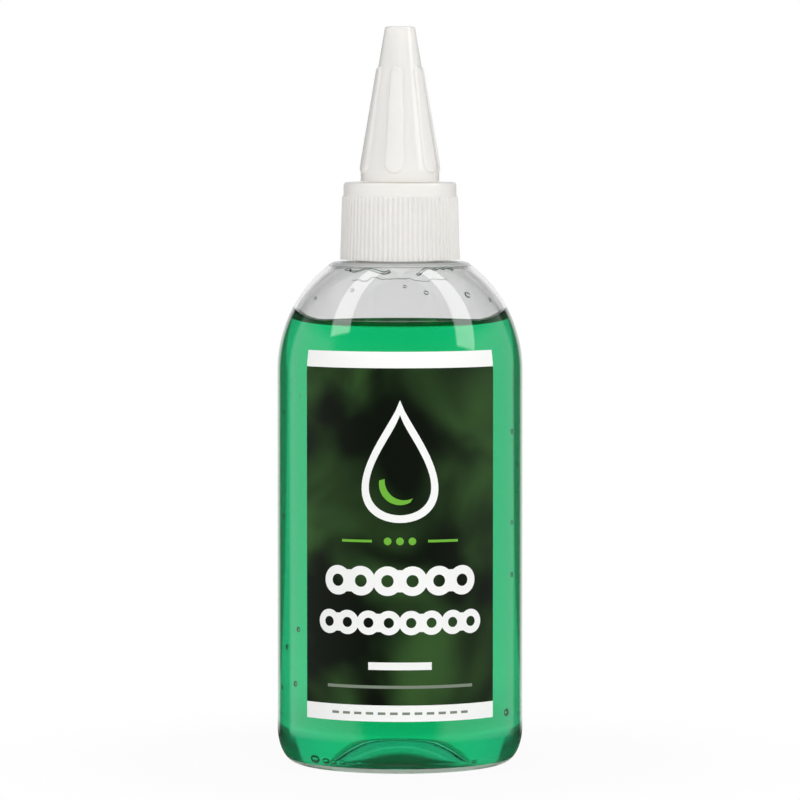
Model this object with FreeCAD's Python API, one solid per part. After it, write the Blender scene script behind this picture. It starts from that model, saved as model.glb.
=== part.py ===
"""Chain lube bottle: a clear blown bottle with its fill, a front label and a twist-open spout cap.

The origin is the centre of the base, +Z is up and the label faces -Y. Sizes are in millimetres.
"""

import FreeCAD
import Part

import math
import os

# Bottle
body_diameter = 49.0
dome_start = 78.1
dome_rise = 26.0
side_wall = 0.7
base_wall = 2.0
ledge_diameter = 26.63
ledge_wall = 0.75
heel_height = 6.9
heel_width = 3.8
ring_width = 1.3
pushup_diameter = 21.0
pushup_foot = 0.5
pushup_rise = 3.1
neck_diameter = 17.3
neck_bore = 14.0
neck_height = 13.4
neck_fillet = 0.9
rim_round = 0.4

# Fill
fill_above_dome_start = 8.7
meniscus_rise = 3.0
meniscus_reach = 4.5
fill_gap = 0.05

# Label
label_angle = 96.0
label_height = 72.4
label_foot_gap = 3.8
label_thickness = 0.1
label_glue = 0.05

# Cap
thread_height = 1.0
thread_clearance = 0.25
skirt_wall = 1.35
skirt_flare = 0.38
skirt_foot_gap = 0.45
flute_count = 72
flute_step = 0.3
flute_depth = 0.25
flute_width = 0.8
band_height = 2.6
band_slope = 0.3
cap_edge_round = 0.7
deck_thickness = 1.4
liner_thickness = 1.0
liner_bore = 10.0
liner_clearance = 0.3
liner_seat_gap = 0.05

# Post inside the spout
post_diameter = 11.7
post_cone_diameter = 9.5
post_tip_diameter = 4.0
post_height = 24.1
post_channel = 8.6
post_channel_tip = 2.2
post_tip_wall = 1.2
bead_height = 0.3
bead_length = 0.8
pin_diameter = 2.0
pin_chamfer = 0.3
window_count = 3
window_diameter = 1.6

# Spout
spout_height = 30.8
collar_diameter = 15.8
collar_height = 1.7
spout_tip_diameter = 6.2
spout_tip_round = 0.6
spout_wall = 1.2
spout_seat_gap = 0.1
spout_travel = 3.2
sliding_clearance = 0.15
bead_clearance = 0.15
orifice_clearance = 0.1
orifice_land = 2.6
pin_recess = 0.4
lip_height = 0.9
rib_count = 6
rib_angle = 28.0
rib_turn = -8.6
rib_proud = 0.38
rib_foot = 1.8
rib_length = 21.0
rib_root = 0.4

# Places that follow from the sizes above
body_radius = body_diameter / 2
ledge_radius = ledge_diameter / 2
neck_radius = neck_diameter / 2
bore_radius = neck_bore / 2
ring_outer = body_radius - heel_width
ring_inner = ring_outer - ring_width
ledge_z = dome_start + dome_rise * math.sqrt(1 - (ledge_radius / body_radius) ** 2)
rim_z = ledge_z + neck_height
liner_z = rim_z + liner_seat_gap
deck_under_z = liner_z + liner_thickness
deck_z = deck_under_z + deck_thickness
skirt_foot_z = ledge_z + skirt_foot_gap
cap_bore_radius = neck_radius + thread_height + thread_clearance
band_radius = cap_bore_radius + skirt_wall
crest_top_radius = band_radius + flute_step
crest_foot_radius = crest_top_radius + skirt_flare
flute_top_z = deck_z - band_height
spout_foot_z = deck_z + spout_seat_gap
spout_top_z = spout_foot_z + spout_height
collar_radius = collar_diameter / 2
collar_top_z = spout_foot_z + collar_height
spout_tip_radius = spout_tip_diameter / 2
spout_tip_z = spout_top_z - spout_tip_round
spout_slope = (collar_radius - spout_tip_radius) / (spout_tip_z - collar_top_z)
post_radius = post_diameter / 2
spout_bore_radius = post_radius + sliding_clearance
bead_radius = post_radius + bead_height
recess_radius = bead_radius + bead_clearance
lip_top_z = spout_foot_z + lip_height
bead_z = lip_top_z + spout_travel + bead_clearance
bead_top_z = bead_z + bead_length
recess_top_z = bead_top_z + bead_clearance
post_tip_z = deck_z + post_height
post_tip_radius = post_tip_diameter / 2
channel_top_z = post_tip_z - post_tip_wall
pin_radius = pin_diameter / 2
pin_top_z = spout_top_z - pin_recess
orifice_radius = pin_radius + orifice_clearance

ORIGIN = FreeCAD.Vector(0, 0, 0)
UP = FreeCAD.Vector(0, 0, 1)
FRONT_TURN = -90.0


def at(point):
    """Return a profile point (radius, height) as a vector in the XZ plane."""
    return FreeCAD.Vector(point[0], 0, point[1])


def lines(*points):
    """Return the straight edges through the profile points in order."""
    return [Part.LineSegment(at(a), at(b)).toShape() for a, b in zip(points, points[1:])]


def arc(start, middle, end):
    """Return a circular edge through three profile points."""
    return Part.Arc(at(start), at(middle), at(end)).toShape()


def ellipse_arc(centre, half_width, half_height, first, last):
    """Return an elliptical edge about centre, between two angles from the radial axis in degrees."""
    turns = [math.radians(first + (last - first) * share) for share in (0, 0.5, 1)]
    unit = arc(*[(math.cos(turn), math.sin(turn)) for turn in turns])
    stretch = FreeCAD.Matrix()
    stretch.scale(half_width, 1, half_height)
    stretch.move(at(centre))
    return unit.transformGeometry(stretch).Edges[0]


def round_edge(corner, reach, first):
    """Return a quarter circle of radius reach about corner, from angle first through 90 degrees."""
    turns = [math.radians(first + step) for step in (0, 45, 90)]
    return arc(*[(corner[0] + reach * math.cos(t), corner[1] + reach * math.sin(t)) for t in turns])


def revolve(edges, turn=360.0):
    """Return the solid that a closed profile sweeps about the Z axis."""
    face = Part.Face(Part.Wire(Part.__sortEdges__(edges)))
    return face.revolve(ORIGIN, UP, turn)


def turned(shape, turn):
    """Return a copy of shape turned about the Z axis, in degrees."""
    copy = shape.copy()
    copy.rotate(ORIGIN, UP, turn)
    return copy


def around(shape, count, start=0.0):
    """Return count copies of shape spread evenly about the Z axis."""
    return [turned(shape, start + 360.0 * number / count) for number in range(count)]


def dome_angle(height, rise):
    """Return the angle on a dome of that rise at a height above its start, in degrees."""
    return math.degrees(math.asin(height / rise))


def cavity_floor(inset):
    """Return the cavity's edges from the axis to the top of the heel, moved inwards by inset."""
    floor = base_wall + inset
    dome_edge = (pushup_diameter / 2, pushup_foot + floor)
    heel_radius = ring_outer - (base_wall - side_wall) - inset
    wall_radius = body_radius - side_wall - inset
    rise = pushup_rise - pushup_foot
    ball = (dome_edge[0] ** 2 + rise**2) / (2 * rise)
    middle_radius = dome_edge[0] / 2
    middle_z = pushup_rise + floor - ball + math.sqrt(ball**2 - middle_radius**2)
    return [
        arc((0, pushup_rise + floor), (middle_radius, middle_z), dome_edge),
        *lines(dome_edge, (heel_radius, floor)),
        ellipse_arc(
            (heel_radius, heel_height), wall_radius - heel_radius, heel_height - floor, -90, 0
        ),
        *lines((wall_radius, heel_height), (wall_radius, dome_start)),
    ]


def make_bottle():
    """Return the blown bottle: push-up base, straight wall, domed shoulder and plain neck."""
    floor = cavity_floor(0)
    outside_floor = [edge.translated(FreeCAD.Vector(0, 0, -base_wall)) for edge in floor[:1]]
    foot_edge = (pushup_diameter / 2, pushup_foot)
    shoulder_turn = dome_angle(ledge_z - dome_start, dome_rise)
    outside = [
        *outside_floor,
        *lines(foot_edge, (ring_inner, 0), (ring_outer, 0)),
        ellipse_arc((ring_outer, heel_height), heel_width, heel_height, -90, 0),
        *lines((body_radius, heel_height), (body_radius, dome_start)),
        ellipse_arc((0, dome_start), body_radius, dome_rise, 0, shoulder_turn),
        *lines((ledge_radius, ledge_z), (neck_radius + neck_fillet, ledge_z)),
        round_edge((neck_radius + neck_fillet, ledge_z + neck_fillet), neck_fillet, -180),
        *lines((neck_radius, ledge_z + neck_fillet), (neck_radius, rim_z - rim_round)),
        round_edge((neck_radius - rim_round, rim_z - rim_round), rim_round, 0),
        *lines((neck_radius - rim_round, rim_z), (bore_radius, rim_z)),
    ]
    ceiling_z = ledge_z - ledge_wall
    cavity_rise = dome_rise - side_wall
    cavity_radius = body_radius - side_wall
    ceiling_turn = dome_angle(ceiling_z - dome_start, cavity_rise)
    ceiling_radius = cavity_radius * math.cos(math.radians(ceiling_turn))
    inside_neck = [
        *lines((bore_radius, rim_z), (bore_radius, ceiling_z + neck_fillet)),
        round_edge((bore_radius + neck_fillet, ceiling_z + neck_fillet), neck_fillet, 180),
        *lines((bore_radius + neck_fillet, ceiling_z), (ceiling_radius, ceiling_z)),
        ellipse_arc((0, dome_start), cavity_radius, cavity_rise, ceiling_turn, 0),
    ]
    axis = lines((0, pushup_rise), (0, pushup_rise + base_wall))
    return revolve([*outside, *inside_neck, *floor, *axis])


def make_lube_fill():
    """Return the lubricant: the lower cavity up to a level surface that climbs the wall."""
    floor = cavity_floor(fill_gap)
    wall_radius = body_radius - side_wall - fill_gap
    wall_rise = dome_rise - side_wall - fill_gap
    level_z = dome_start + fill_above_dome_start
    contact_z = level_z + meniscus_rise
    contact_turn = dome_angle(contact_z - dome_start, wall_rise)
    contact_radius = wall_radius * math.cos(math.radians(contact_turn))
    level_radius = contact_radius - meniscus_reach
    surface = [
        ellipse_arc((0, dome_start), wall_radius, wall_rise, 0, contact_turn),
        ellipse_arc((level_radius, contact_z), meniscus_reach, meniscus_rise, 0, -90),
        *lines((level_radius, level_z), (0, level_z)),
        *lines((0, level_z), (0, pushup_rise + base_wall + fill_gap)),
    ]
    return revolve([*floor, *surface])


def label_side(offset, foot_z, top_z):
    """Return the label's edges up the bottle's outside, offset outwards, from foot_z to top_z."""
    radius = body_radius + offset
    rise = dome_rise + offset
    if top_z <= dome_start:
        return lines((radius, foot_z), (radius, top_z)), (radius, top_z)
    turn = dome_angle(top_z - dome_start, rise)
    top = (radius * math.cos(math.radians(turn)), top_z)
    wall = lines((radius, foot_z), (radius, dome_start))
    return [*wall, ellipse_arc((0, dome_start), radius, rise, 0, turn)], top


def make_front_label():
    """Return the label: a thin sheet that follows the front of the wall and the start of the dome."""
    foot_z = heel_height + label_foot_gap
    top_z = foot_z + label_height
    face = label_glue + label_thickness
    inner, inner_top = label_side(label_glue, foot_z, top_z)
    outer, outer_top = label_side(face, foot_z, top_z)
    foot = lines((body_radius + label_glue, foot_z), (body_radius + face, foot_z))
    sheet = revolve([*inner, *lines(inner_top, outer_top), *outer, *foot], label_angle)
    return turned(sheet, FRONT_TURN - label_angle / 2)


def make_cap_liner():
    """Return the sealing ring that lies under the cap's deck."""
    outer = Part.makeCylinder(cap_bore_radius - liner_clearance, liner_thickness, at((0, liner_z)))
    return outer.cut(Part.makeCylinder(liner_bore / 2, liner_thickness, at((0, liner_z))))


def skirt_edges():
    """Return the cap's outside edges from the skirt's foot to the post."""
    return [
        *lines(
            (cap_bore_radius, skirt_foot_z),
            (crest_foot_radius, skirt_foot_z),
            (crest_top_radius, flute_top_z),
            (band_radius, flute_top_z + band_slope),
            (band_radius, deck_z - cap_edge_round),
        ),
        round_edge((band_radius - cap_edge_round, deck_z - cap_edge_round), cap_edge_round, 0),
        *lines((band_radius - cap_edge_round, deck_z), (post_radius, deck_z), (post_radius, bead_z)),
    ]


def post_edges():
    """Return the post's edges from its snap bead over the pin and down the channel to the skirt."""
    return [
        arc((post_radius, bead_z), (bead_radius, bead_z + bead_length / 2), (post_radius, bead_top_z)),
        *lines(
            (post_radius, bead_top_z),
            (post_cone_diameter / 2, bead_top_z + post_radius - post_cone_diameter / 2),
            (post_tip_radius, post_tip_z),
            (pin_radius, post_tip_z + post_tip_radius - pin_radius),
            (pin_radius, pin_top_z - pin_chamfer),
            (pin_radius - pin_chamfer, pin_top_z),
            (0, pin_top_z),
            (0, channel_top_z),
            (post_channel_tip / 2, channel_top_z),
            (post_channel / 2, deck_under_z),
            (cap_bore_radius, deck_under_z),
            (cap_bore_radius, skirt_foot_z),
        ),
    ]


def make_flute():
    """Return one V-shaped groove cutter that leans with the skirt's taper, facing +X."""
    lean = math.atan2(skirt_flare, flute_top_z - skirt_foot_z)
    along = FreeCAD.Vector(-math.sin(lean), 0, math.cos(lean))
    length = (flute_top_z + 2 * band_slope - skirt_foot_z) / math.cos(lean)
    start = at((crest_foot_radius, skirt_foot_z)) - along * band_slope
    root = start - FreeCAD.Vector(flute_depth, 0, 0)
    left = start + FreeCAD.Vector(flute_depth, -flute_width, 0)
    right = start + FreeCAD.Vector(flute_depth, flute_width, 0)
    return Part.Face(Part.makePolygon([root, left, right, root])).extrude(along * length)


def make_screw_cap():
    """Return the closure: fluted skirt, deck, and hollow post with side windows and sealing pin."""
    body = revolve([*skirt_edges(), *post_edges()])
    window_z = channel_top_z - window_diameter
    reach = FreeCAD.Vector(post_radius, 0, 0)
    window = Part.makeCylinder(window_diameter / 2, post_radius, at((0, window_z)), reach)
    cuts = [*around(make_flute(), flute_count), *around(window, window_count)]
    return body.cut(cuts)


def cone_radius(height):
    """Return the spout's plain outer radius at a height above the collar."""
    return collar_radius - spout_slope * (height - collar_top_z)


def spout_profile():
    """Return the spout's closed profile: plain cone outside, snap recess and orifice inside."""
    cone_start_z = collar_top_z + (collar_radius - spout_wall - spout_bore_radius) / spout_slope
    inner_start_z = max(cone_start_z, recess_top_z + bead_clearance)
    funnel_z = spout_top_z - orifice_land
    funnel_radius = cone_radius(funnel_z) - spout_wall
    funnel_drop = funnel_radius - orifice_radius
    funnel_start = (cone_radius(funnel_z - funnel_drop) - spout_wall, funnel_z - funnel_drop)
    lean = bead_clearance + recess_radius - bead_radius
    outside = [
        *lines(
            (spout_bore_radius, spout_foot_z),
            (collar_radius, spout_foot_z),
            (collar_radius, collar_top_z),
            (spout_tip_radius, spout_tip_z),
        ),
        round_edge((spout_tip_radius - spout_tip_round, spout_tip_z), spout_tip_round, 0),
    ]
    inside = lines(
        (spout_tip_radius - spout_tip_round, spout_top_z),
        (orifice_radius, spout_top_z),
        (orifice_radius, funnel_z),
        funnel_start,
        (spout_bore_radius, inner_start_z),
        (spout_bore_radius, recess_top_z + lean),
        (recess_radius, recess_top_z),
        (recess_radius, lip_top_z + lean),
        (spout_bore_radius, lip_top_z),
        (spout_bore_radius, spout_foot_z),
    )
    return [*outside, *inside]


def make_rib():
    """Return one grip rib: a round-ended tongue that stands proud of the cone, facing +X."""
    foot_z = spout_foot_z + rib_foot
    top_z = foot_z + rib_length
    half_turn = math.sin(math.radians(rib_angle / 2))
    foot_half = cone_radius(foot_z) * half_turn
    top_half = cone_radius(top_z) * half_turn
    skin = revolve(
        lines(
            (cone_radius(foot_z) - rib_root, foot_z),
            (cone_radius(foot_z) + rib_proud, foot_z),
            (cone_radius(top_z) + rib_proud, top_z),
            (cone_radius(top_z) - rib_root, top_z),
            (cone_radius(foot_z) - rib_root, foot_z),
        )
    )
    low_left = FreeCAD.Vector(0, -foot_half, foot_z + foot_half)
    low_right = FreeCAD.Vector(0, foot_half, foot_z + foot_half)
    high_left = FreeCAD.Vector(0, -top_half, top_z - top_half)
    high_right = FreeCAD.Vector(0, top_half, top_z - top_half)
    outline = Part.Wire(
        [
            Part.Arc(low_left, FreeCAD.Vector(0, 0, foot_z), low_right).toShape(),
            Part.LineSegment(low_right, high_right).toShape(),
            Part.Arc(high_right, FreeCAD.Vector(0, 0, top_z), high_left).toShape(),
            Part.LineSegment(high_left, low_left).toShape(),
        ]
    )
    tongue = Part.Face(outline).extrude(FreeCAD.Vector(collar_diameter, 0, 0))
    return skin.common(tongue)


def make_twist_spout():
    """Return the spout: a hollow cone with round-ended grip ribs and a small orifice."""
    body = revolve(spout_profile())
    return body.fuse(around(make_rib(), rib_count, FRONT_TURN + rib_turn)).removeSplitter()


def main():
    """Build every piece and write each as its own STEP file."""
    pieces = {
        "bottle": make_bottle(),
        "lube_fill": make_lube_fill(),
        "front_label": make_front_label(),
        "cap_liner": make_cap_liner(),
        "screw_cap": make_screw_cap(),
        "twist_spout": make_twist_spout(),
    }
    os.makedirs("parts", exist_ok=True)
    for name, shape in pieces.items():
        solid = shape.Solids[0]
        print(name, "valid", solid.isValid(), "solids", len(shape.Solids), "mm3", round(solid.Volume, 1))
        solid.exportStep(f"parts/{name}.step")


main()
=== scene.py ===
"""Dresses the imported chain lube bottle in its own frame.

A clear blown bottle of green lubricant stands on a white sweep. It carries a printed front label
and a white screw cap with a ribbed twist spout. Sizes are in millimetres, meshes are in metres,
+Z is up and the label faces -Y.
"""

import logging
import math
import random
from collections.abc import Iterable, Sequence
from dataclasses import dataclass
from enum import Enum

import bmesh
import bpy
from mathutils import Matrix, Vector, noise


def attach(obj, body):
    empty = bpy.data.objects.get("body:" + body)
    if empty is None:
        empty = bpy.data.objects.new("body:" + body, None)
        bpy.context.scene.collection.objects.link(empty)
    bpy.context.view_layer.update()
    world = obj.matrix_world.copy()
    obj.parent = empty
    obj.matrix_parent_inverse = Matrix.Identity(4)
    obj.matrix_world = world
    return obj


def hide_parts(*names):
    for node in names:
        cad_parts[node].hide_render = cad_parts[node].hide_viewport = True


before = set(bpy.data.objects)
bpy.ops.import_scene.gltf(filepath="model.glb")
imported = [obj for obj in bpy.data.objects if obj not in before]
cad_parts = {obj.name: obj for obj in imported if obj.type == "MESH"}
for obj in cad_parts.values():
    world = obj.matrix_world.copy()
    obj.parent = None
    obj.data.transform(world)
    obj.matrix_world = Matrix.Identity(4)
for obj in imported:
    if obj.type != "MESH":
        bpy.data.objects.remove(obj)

MM = 0.001
FRONT = -math.pi / 2
Point = tuple[float, float]
Colour = tuple[float, float, float, float]
Node = bpy.types.Node
Socket = bpy.types.NodeSocket
Tree = bpy.types.NodeTree
Material = bpy.types.Material
Mesh = bpy.types.Mesh
Face = bpy.types.MeshPolygon
Shell = bmesh.types.BMesh
log = logging.getLogger("chain_lube_bottle")


class Body(Enum):
    """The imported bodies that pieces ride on."""

    FILLED_BOTTLE = "filled_bottle"
    CAP = "cap"
    SPOUT = "spout"


class Slot(Enum):
    """The record's material slots."""

    CLEAR_PET = "clear_pet"
    GREEN_LUBRICANT = "green_lubricant"
    PRINTED_FILM = "printed_film"
    WHITE_POLYPROPYLENE = "white_polypropylene"


class Ink(Enum):
    """The label's printing inks, in the order of the print's material slots."""

    DEEP_GREEN = 0
    WHITE = 1
    LIME = 2
    GREY_GREEN = 3


class WallSkin(Enum):
    """The surfaces of the bottle's wall, in the order of its material slots."""

    BARE = 0
    WETTED = 1
    STIPPLED = 2
    CLOUDED = 3


def linear(colour: str) -> Colour:
    """Turn an sRGB hex colour into linear values.

    Args:
        colour: The colour as "#rrggbb".

    Returns:
        Linear red, green and blue, with an alpha of 1.
    """
    shares = [int(colour[i : i + 2], 16) / 255 for i in (1, 3, 5)]
    return (*[s / 12.92 if s <= 0.04045 else ((s + 0.055) / 1.055) ** 2.4 for s in shares], 1.0)


def grey(level: float) -> Colour:
    """Return a linear grey, with an alpha of 1."""
    return (level, level, level, 1.0)


def progress(value: float, first: float, last: float) -> float:
    """Return how far a value has gone from first to last, between 0 and 1."""
    return min(1.0, max(0.0, (value - first) / (last - first)))


def node(tree: Tree, kind: str, inputs: dict | None = None, **settings: object) -> Node:
    """Add a node with its settings and links.

    Args:
        tree: The tree that gets the node.
        kind: The node's type.
        inputs: A value, or a socket or node to link, by input name or number; a node's first
            output is linked.
        settings: The node's own properties.

    Returns:
        The new node.
    """
    made = tree.nodes.new(kind)
    for name, value in settings.items():
        setattr(made, name, value)
    for key, value in (inputs or {}).items():
        if isinstance(value, Node):
            value = value.outputs[0]
        if isinstance(value, Socket):
            tree.links.new(value, made.inputs[key])
        else:
            made.inputs[key].default_value = value
    return made


def arc(centre: Point, radii: Point, first: float, last: float, steps: int) -> list[Point]:
    """Return points on an elliptical arc.

    Args:
        centre: The ellipse's centre.
        radii: Its half width and half height.
        first: The angle of the first point, in degrees.
        last: The angle of the last point, in degrees.
        steps: How many pieces the arc has.

    Returns:
        The points in order, both ends included.
    """
    turns = [math.radians(first + (last - first) * step / steps) for step in range(steps + 1)]
    return [(centre[0] + radii[0] * math.cos(t), centre[1] + radii[1] * math.sin(t)) for t in turns]


def rounded(corners: Sequence[tuple[float, float, float]], steps: int = 5) -> list[Point]:
    """Return a line of points whose corners are rounded off.

    Args:
        corners: Each corner's two coordinates and how far its rounding reaches; 0 leaves it sharp.
        steps: How many pieces a rounding has.

    Returns:
        The points in order.
    """
    points: list[Point] = []
    for index, (x, y, reach) in enumerate(corners):
        if not reach:
            points.append((x, y))
            continue
        corner = Vector((x, y))
        start = corner + (Vector(corners[index - 1][:2]) - corner).normalized() * reach
        end = corner + (Vector(corners[index + 1][:2]) - corner).normalized() * reach
        for step in range(steps + 1):
            share = step / steps
            spot = start.lerp(corner, share).lerp(corner.lerp(end, share), share)
            points.append((spot.x, spot.y))
    return points


def split(start: Point, end: Point, steps: int) -> list[Point]:
    """Return the points between two ends of a straight run, without the ends."""
    shares = [step / steps for step in range(1, steps)]
    return [(start[0] + (end[0] - start[0]) * s, start[1] + (end[1] - start[1]) * s) for s in shares]


def lathe(profile: Sequence[Point], segments: int, closed: bool = False) -> Shell:
    """Turn a profile about the vertical axis into a closed shell.

    Args:
        profile: Radius and height of each point, in millimetres.
        segments: How many faces go round.
        closed: Whether the last point joins the first.

    Returns:
        The shell, in metres, with its faces outwards.
    """
    shell = bmesh.new()
    rings = []
    for radius, height in profile:
        if radius < 1e-6:
            rings.append([shell.verts.new((0, 0, height * MM))] * segments)
            continue
        turns = [2 * math.pi * step / segments for step in range(segments)]
        ring = [(radius * MM * math.cos(t), radius * MM * math.sin(t), height * MM) for t in turns]
        rings.append([shell.verts.new(spot) for spot in ring])
    follow = [*rings[1:], rings[0]] if closed else rings[1:]
    for low, high in zip(rings, follow):
        for i in range(segments):
            j = (i + 1) % segments
            corners = list(dict.fromkeys((low[i], low[j], high[j], high[i])))
            if len(corners) > 2:
                shell.faces.new(corners)
    bmesh.ops.recalc_face_normals(shell, faces=shell.faces)
    return shell


def smooth(mesh: Mesh, sharp: float) -> Mesh:
    """Return a mesh shaded smooth, whose edges are sharp from an angle in degrees."""
    mesh.shade_smooth()
    mesh.set_sharp_from_angle(angle=math.radians(sharp))
    return mesh


def as_mesh(shell: Shell, name: str, sharp: float = 35.0) -> Mesh:
    """Turn a shell into a smooth mesh with sharp edges.

    Args:
        shell: The shell, which is freed.
        name: The mesh's name.
        sharp: The angle between faces from which an edge is sharp, in degrees.

    Returns:
        The mesh.
    """
    mesh = bpy.data.meshes.new(name)
    shell.to_mesh(mesh)
    shell.free()
    return smooth(mesh, sharp)


def joined(name: str, meshes: Iterable[Mesh]) -> Mesh:
    """Put meshes together in one mesh.

    Args:
        name: The new mesh's name.
        meshes: The meshes, which are removed.

    Returns:
        The joined mesh, with the first mesh's materials.
    """
    shell = bmesh.new()
    materials: list[Material] = []
    for mesh in meshes:
        shell.from_mesh(mesh)
        materials = materials or list(mesh.materials)
        bpy.data.meshes.remove(mesh)
    made = bpy.data.meshes.new(name)
    shell.to_mesh(made)
    shell.free()
    for material in materials:
        made.materials.append(material)
    return made


def put(name: str, data: bpy.types.ID) -> bpy.types.Object:
    """Return a new object in the scene that holds a mesh, a lamp or a camera."""
    made = bpy.data.objects.new(name, data)
    bpy.context.scene.collection.objects.link(made)
    return made


def place(mesh: Mesh, body: Body, stands_for: str | None = None) -> bpy.types.Object:
    """Make a finished mesh a piece of the object.

    Args:
        mesh: The mesh, in place, which gives the piece its name.
        body: The body that the piece rides on.
        stands_for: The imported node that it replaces.

    Returns:
        The piece.
    """
    piece = put(mesh.name, mesh)
    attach(piece, body.value)
    if stands_for:
        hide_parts(stands_for)
    mesh.calc_loop_triangles()
    log.info("%s: %d triangles, rides on %s", piece.name, len(mesh.loop_triangles), body.value)
    return piece


class Growth:
    """A Geometry Nodes tree with named sizes that turns one mesh into another."""

    def __init__(self, name: str, sizes: dict[str, float | int]) -> None:
        """Start the tree.

        Args:
            name: The tree's name.
            sizes: The value of each named input; whole numbers become whole-number inputs.
        """
        self.tree = bpy.data.node_groups.new(name, "GeometryNodeTree")
        sockets = self.tree.interface
        for way in ("INPUT", "OUTPUT"):
            sockets.new_socket("Geometry", in_out=way, socket_type="NodeSocketGeometry")
        self.values: dict[str, float | int] = {}
        for label, value in sizes.items():
            kind = "NodeSocketInt" if isinstance(value, int) else "NodeSocketFloat"
            made = sockets.new_socket(label, in_out="INPUT", socket_type=kind)
            self.values[made.identifier] = value
        self.source = node(self.tree, "NodeGroupInput")

    def __getitem__(self, label: str | int) -> Socket:
        """Return the socket of an input by its name, or of the geometry by the number 0."""
        return self.source.outputs[label]

    def run(self, geometry: Node, material: Material, mesh: Mesh) -> Mesh:
        """Close the tree, evaluate it on a mesh and keep the result as a plain mesh.

        Args:
            geometry: The node that gives the finished geometry.
            material: The material that it gets.
            mesh: The mesh that goes in, which is removed.

        Returns:
            The plain mesh.
        """
        real = node(self.tree, "GeometryNodeRealizeInstances", {0: geometry})
        painted = node(self.tree, "GeometryNodeSetMaterial", {0: real, "Material": material})
        node(self.tree, "NodeGroupOutput", {0: painted})
        carrier = put(self.tree.name, mesh)
        modifier = carrier.modifiers.new("growth", "NODES")
        modifier.node_group = self.tree
        for identifier, value in self.values.items():
            modifier[identifier] = value
        graph = bpy.context.evaluated_depsgraph_get()
        grown = bpy.data.meshes.new_from_object(carrier.evaluated_get(graph))
        carrier.modifiers.remove(modifier)
        bpy.data.objects.remove(carrier)
        bpy.data.meshes.remove(mesh)
        grown.materials.clear()
        grown.materials.append(material)
        grown.polygons.foreach_set("material_index", [0] * len(grown.polygons))
        return grown


class Finish:
    """A material recipe."""

    name: str

    def shade(self, tree: Tree) -> dict[str, Node]:
        """Return the nodes for the material output, by its input's name."""
        raise NotImplementedError

    def make(self) -> Material:
        """Return the material."""
        made = bpy.data.materials.new(self.name)
        made.use_nodes = True
        made.node_tree.nodes.clear()
        node(made.node_tree, "ShaderNodeOutputMaterial", self.shade(made.node_tree))
        return made


@dataclass(frozen=True)
class BlownPet(Finish):
    """PET, stretch blown in a polished mould: clear and glossy, faintly grey where its edge is thick."""

    name: str = "blown_pet"
    tint: str = "#f2f2f2"
    ior: float = 1.575
    roughness: float = 0.015
    # Oil against the wall has nearly the wall's own index, so a wetted face shows no gloss.
    gloss: float = 1.0
    # Stipple and scuffs cloud the standing edge, and the thick plastic at the neck's ledge is hazy.
    clearness: float = 1.0

    def shade(self, tree: Tree) -> dict[str, Node]:
        """Return the clear wall."""
        wall = {
            "Base Color": linear(self.tint),
            "Roughness": self.roughness,
            "IOR": self.ior,
            "Specular Tint": grey(self.gloss),
            "Transmission Weight": self.clearness,
        }
        return {"Surface": node(tree, "ShaderNodeBsdfPrincipled", wall)}


@dataclass(frozen=True)
class GreenOil(Finish):
    """Dyed mineral oil: perfectly smooth, and greener the further the light has gone through it."""

    name: str = "green_mineral_oil"
    ior: float = 1.46
    dye: str = "#43f3da"
    density: float = 121.9
    # Painted glow: the oil emits a faint green light of its own, standing in for the little light that the
    # dye scatters, so that the oil's darkest parts are dark green and not black.
    dye_glow: str = "#7cffb3"
    inner_gloss: float = 0.0

    def shade(self, tree: Tree) -> dict[str, Node]:
        """Return the clear surface, the dye that fills it and the oil's painted glow."""
        clear = {"Base Color": grey(1.0), "Roughness": 0.0, "IOR": self.ior, "Transmission Weight": 1.0}
        skin = {**clear, "Specular Tint": grey(self.inner_gloss)}
        taken = {"Color": linear(self.dye), "Density": self.density}
        dye = node(tree, "ShaderNodeVolumeAbsorption", taken)
        # Painted glow: an emission inside the oil, which is no lamp.
        dye_glow = node(tree, "ShaderNodeEmission", {"Color": linear(self.dye_glow), "Strength": 1.0})
        return {
            "Surface": node(tree, "ShaderNodeBsdfPrincipled", skin),
            "Volume": node(tree, "ShaderNodeAddShader", {0: dye, 1: dye_glow}),
        }


@dataclass(frozen=True)
class BubbleSkin(Finish):
    """Air under a film of oil: a clear skin whose rim bends the light, so a bubble shows as a ring."""

    name: str = "air_bubble_skin"
    ior: float = 1.35

    def shade(self, tree: Tree) -> dict[str, Node]:
        """Return the clear skin."""
        skin = {"Base Color": grey(1.0), "Roughness": 0.0, "IOR": self.ior, "Transmission Weight": 1.0}
        return {"Surface": node(tree, "ShaderNodeBsdfPrincipled", skin)}


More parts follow.
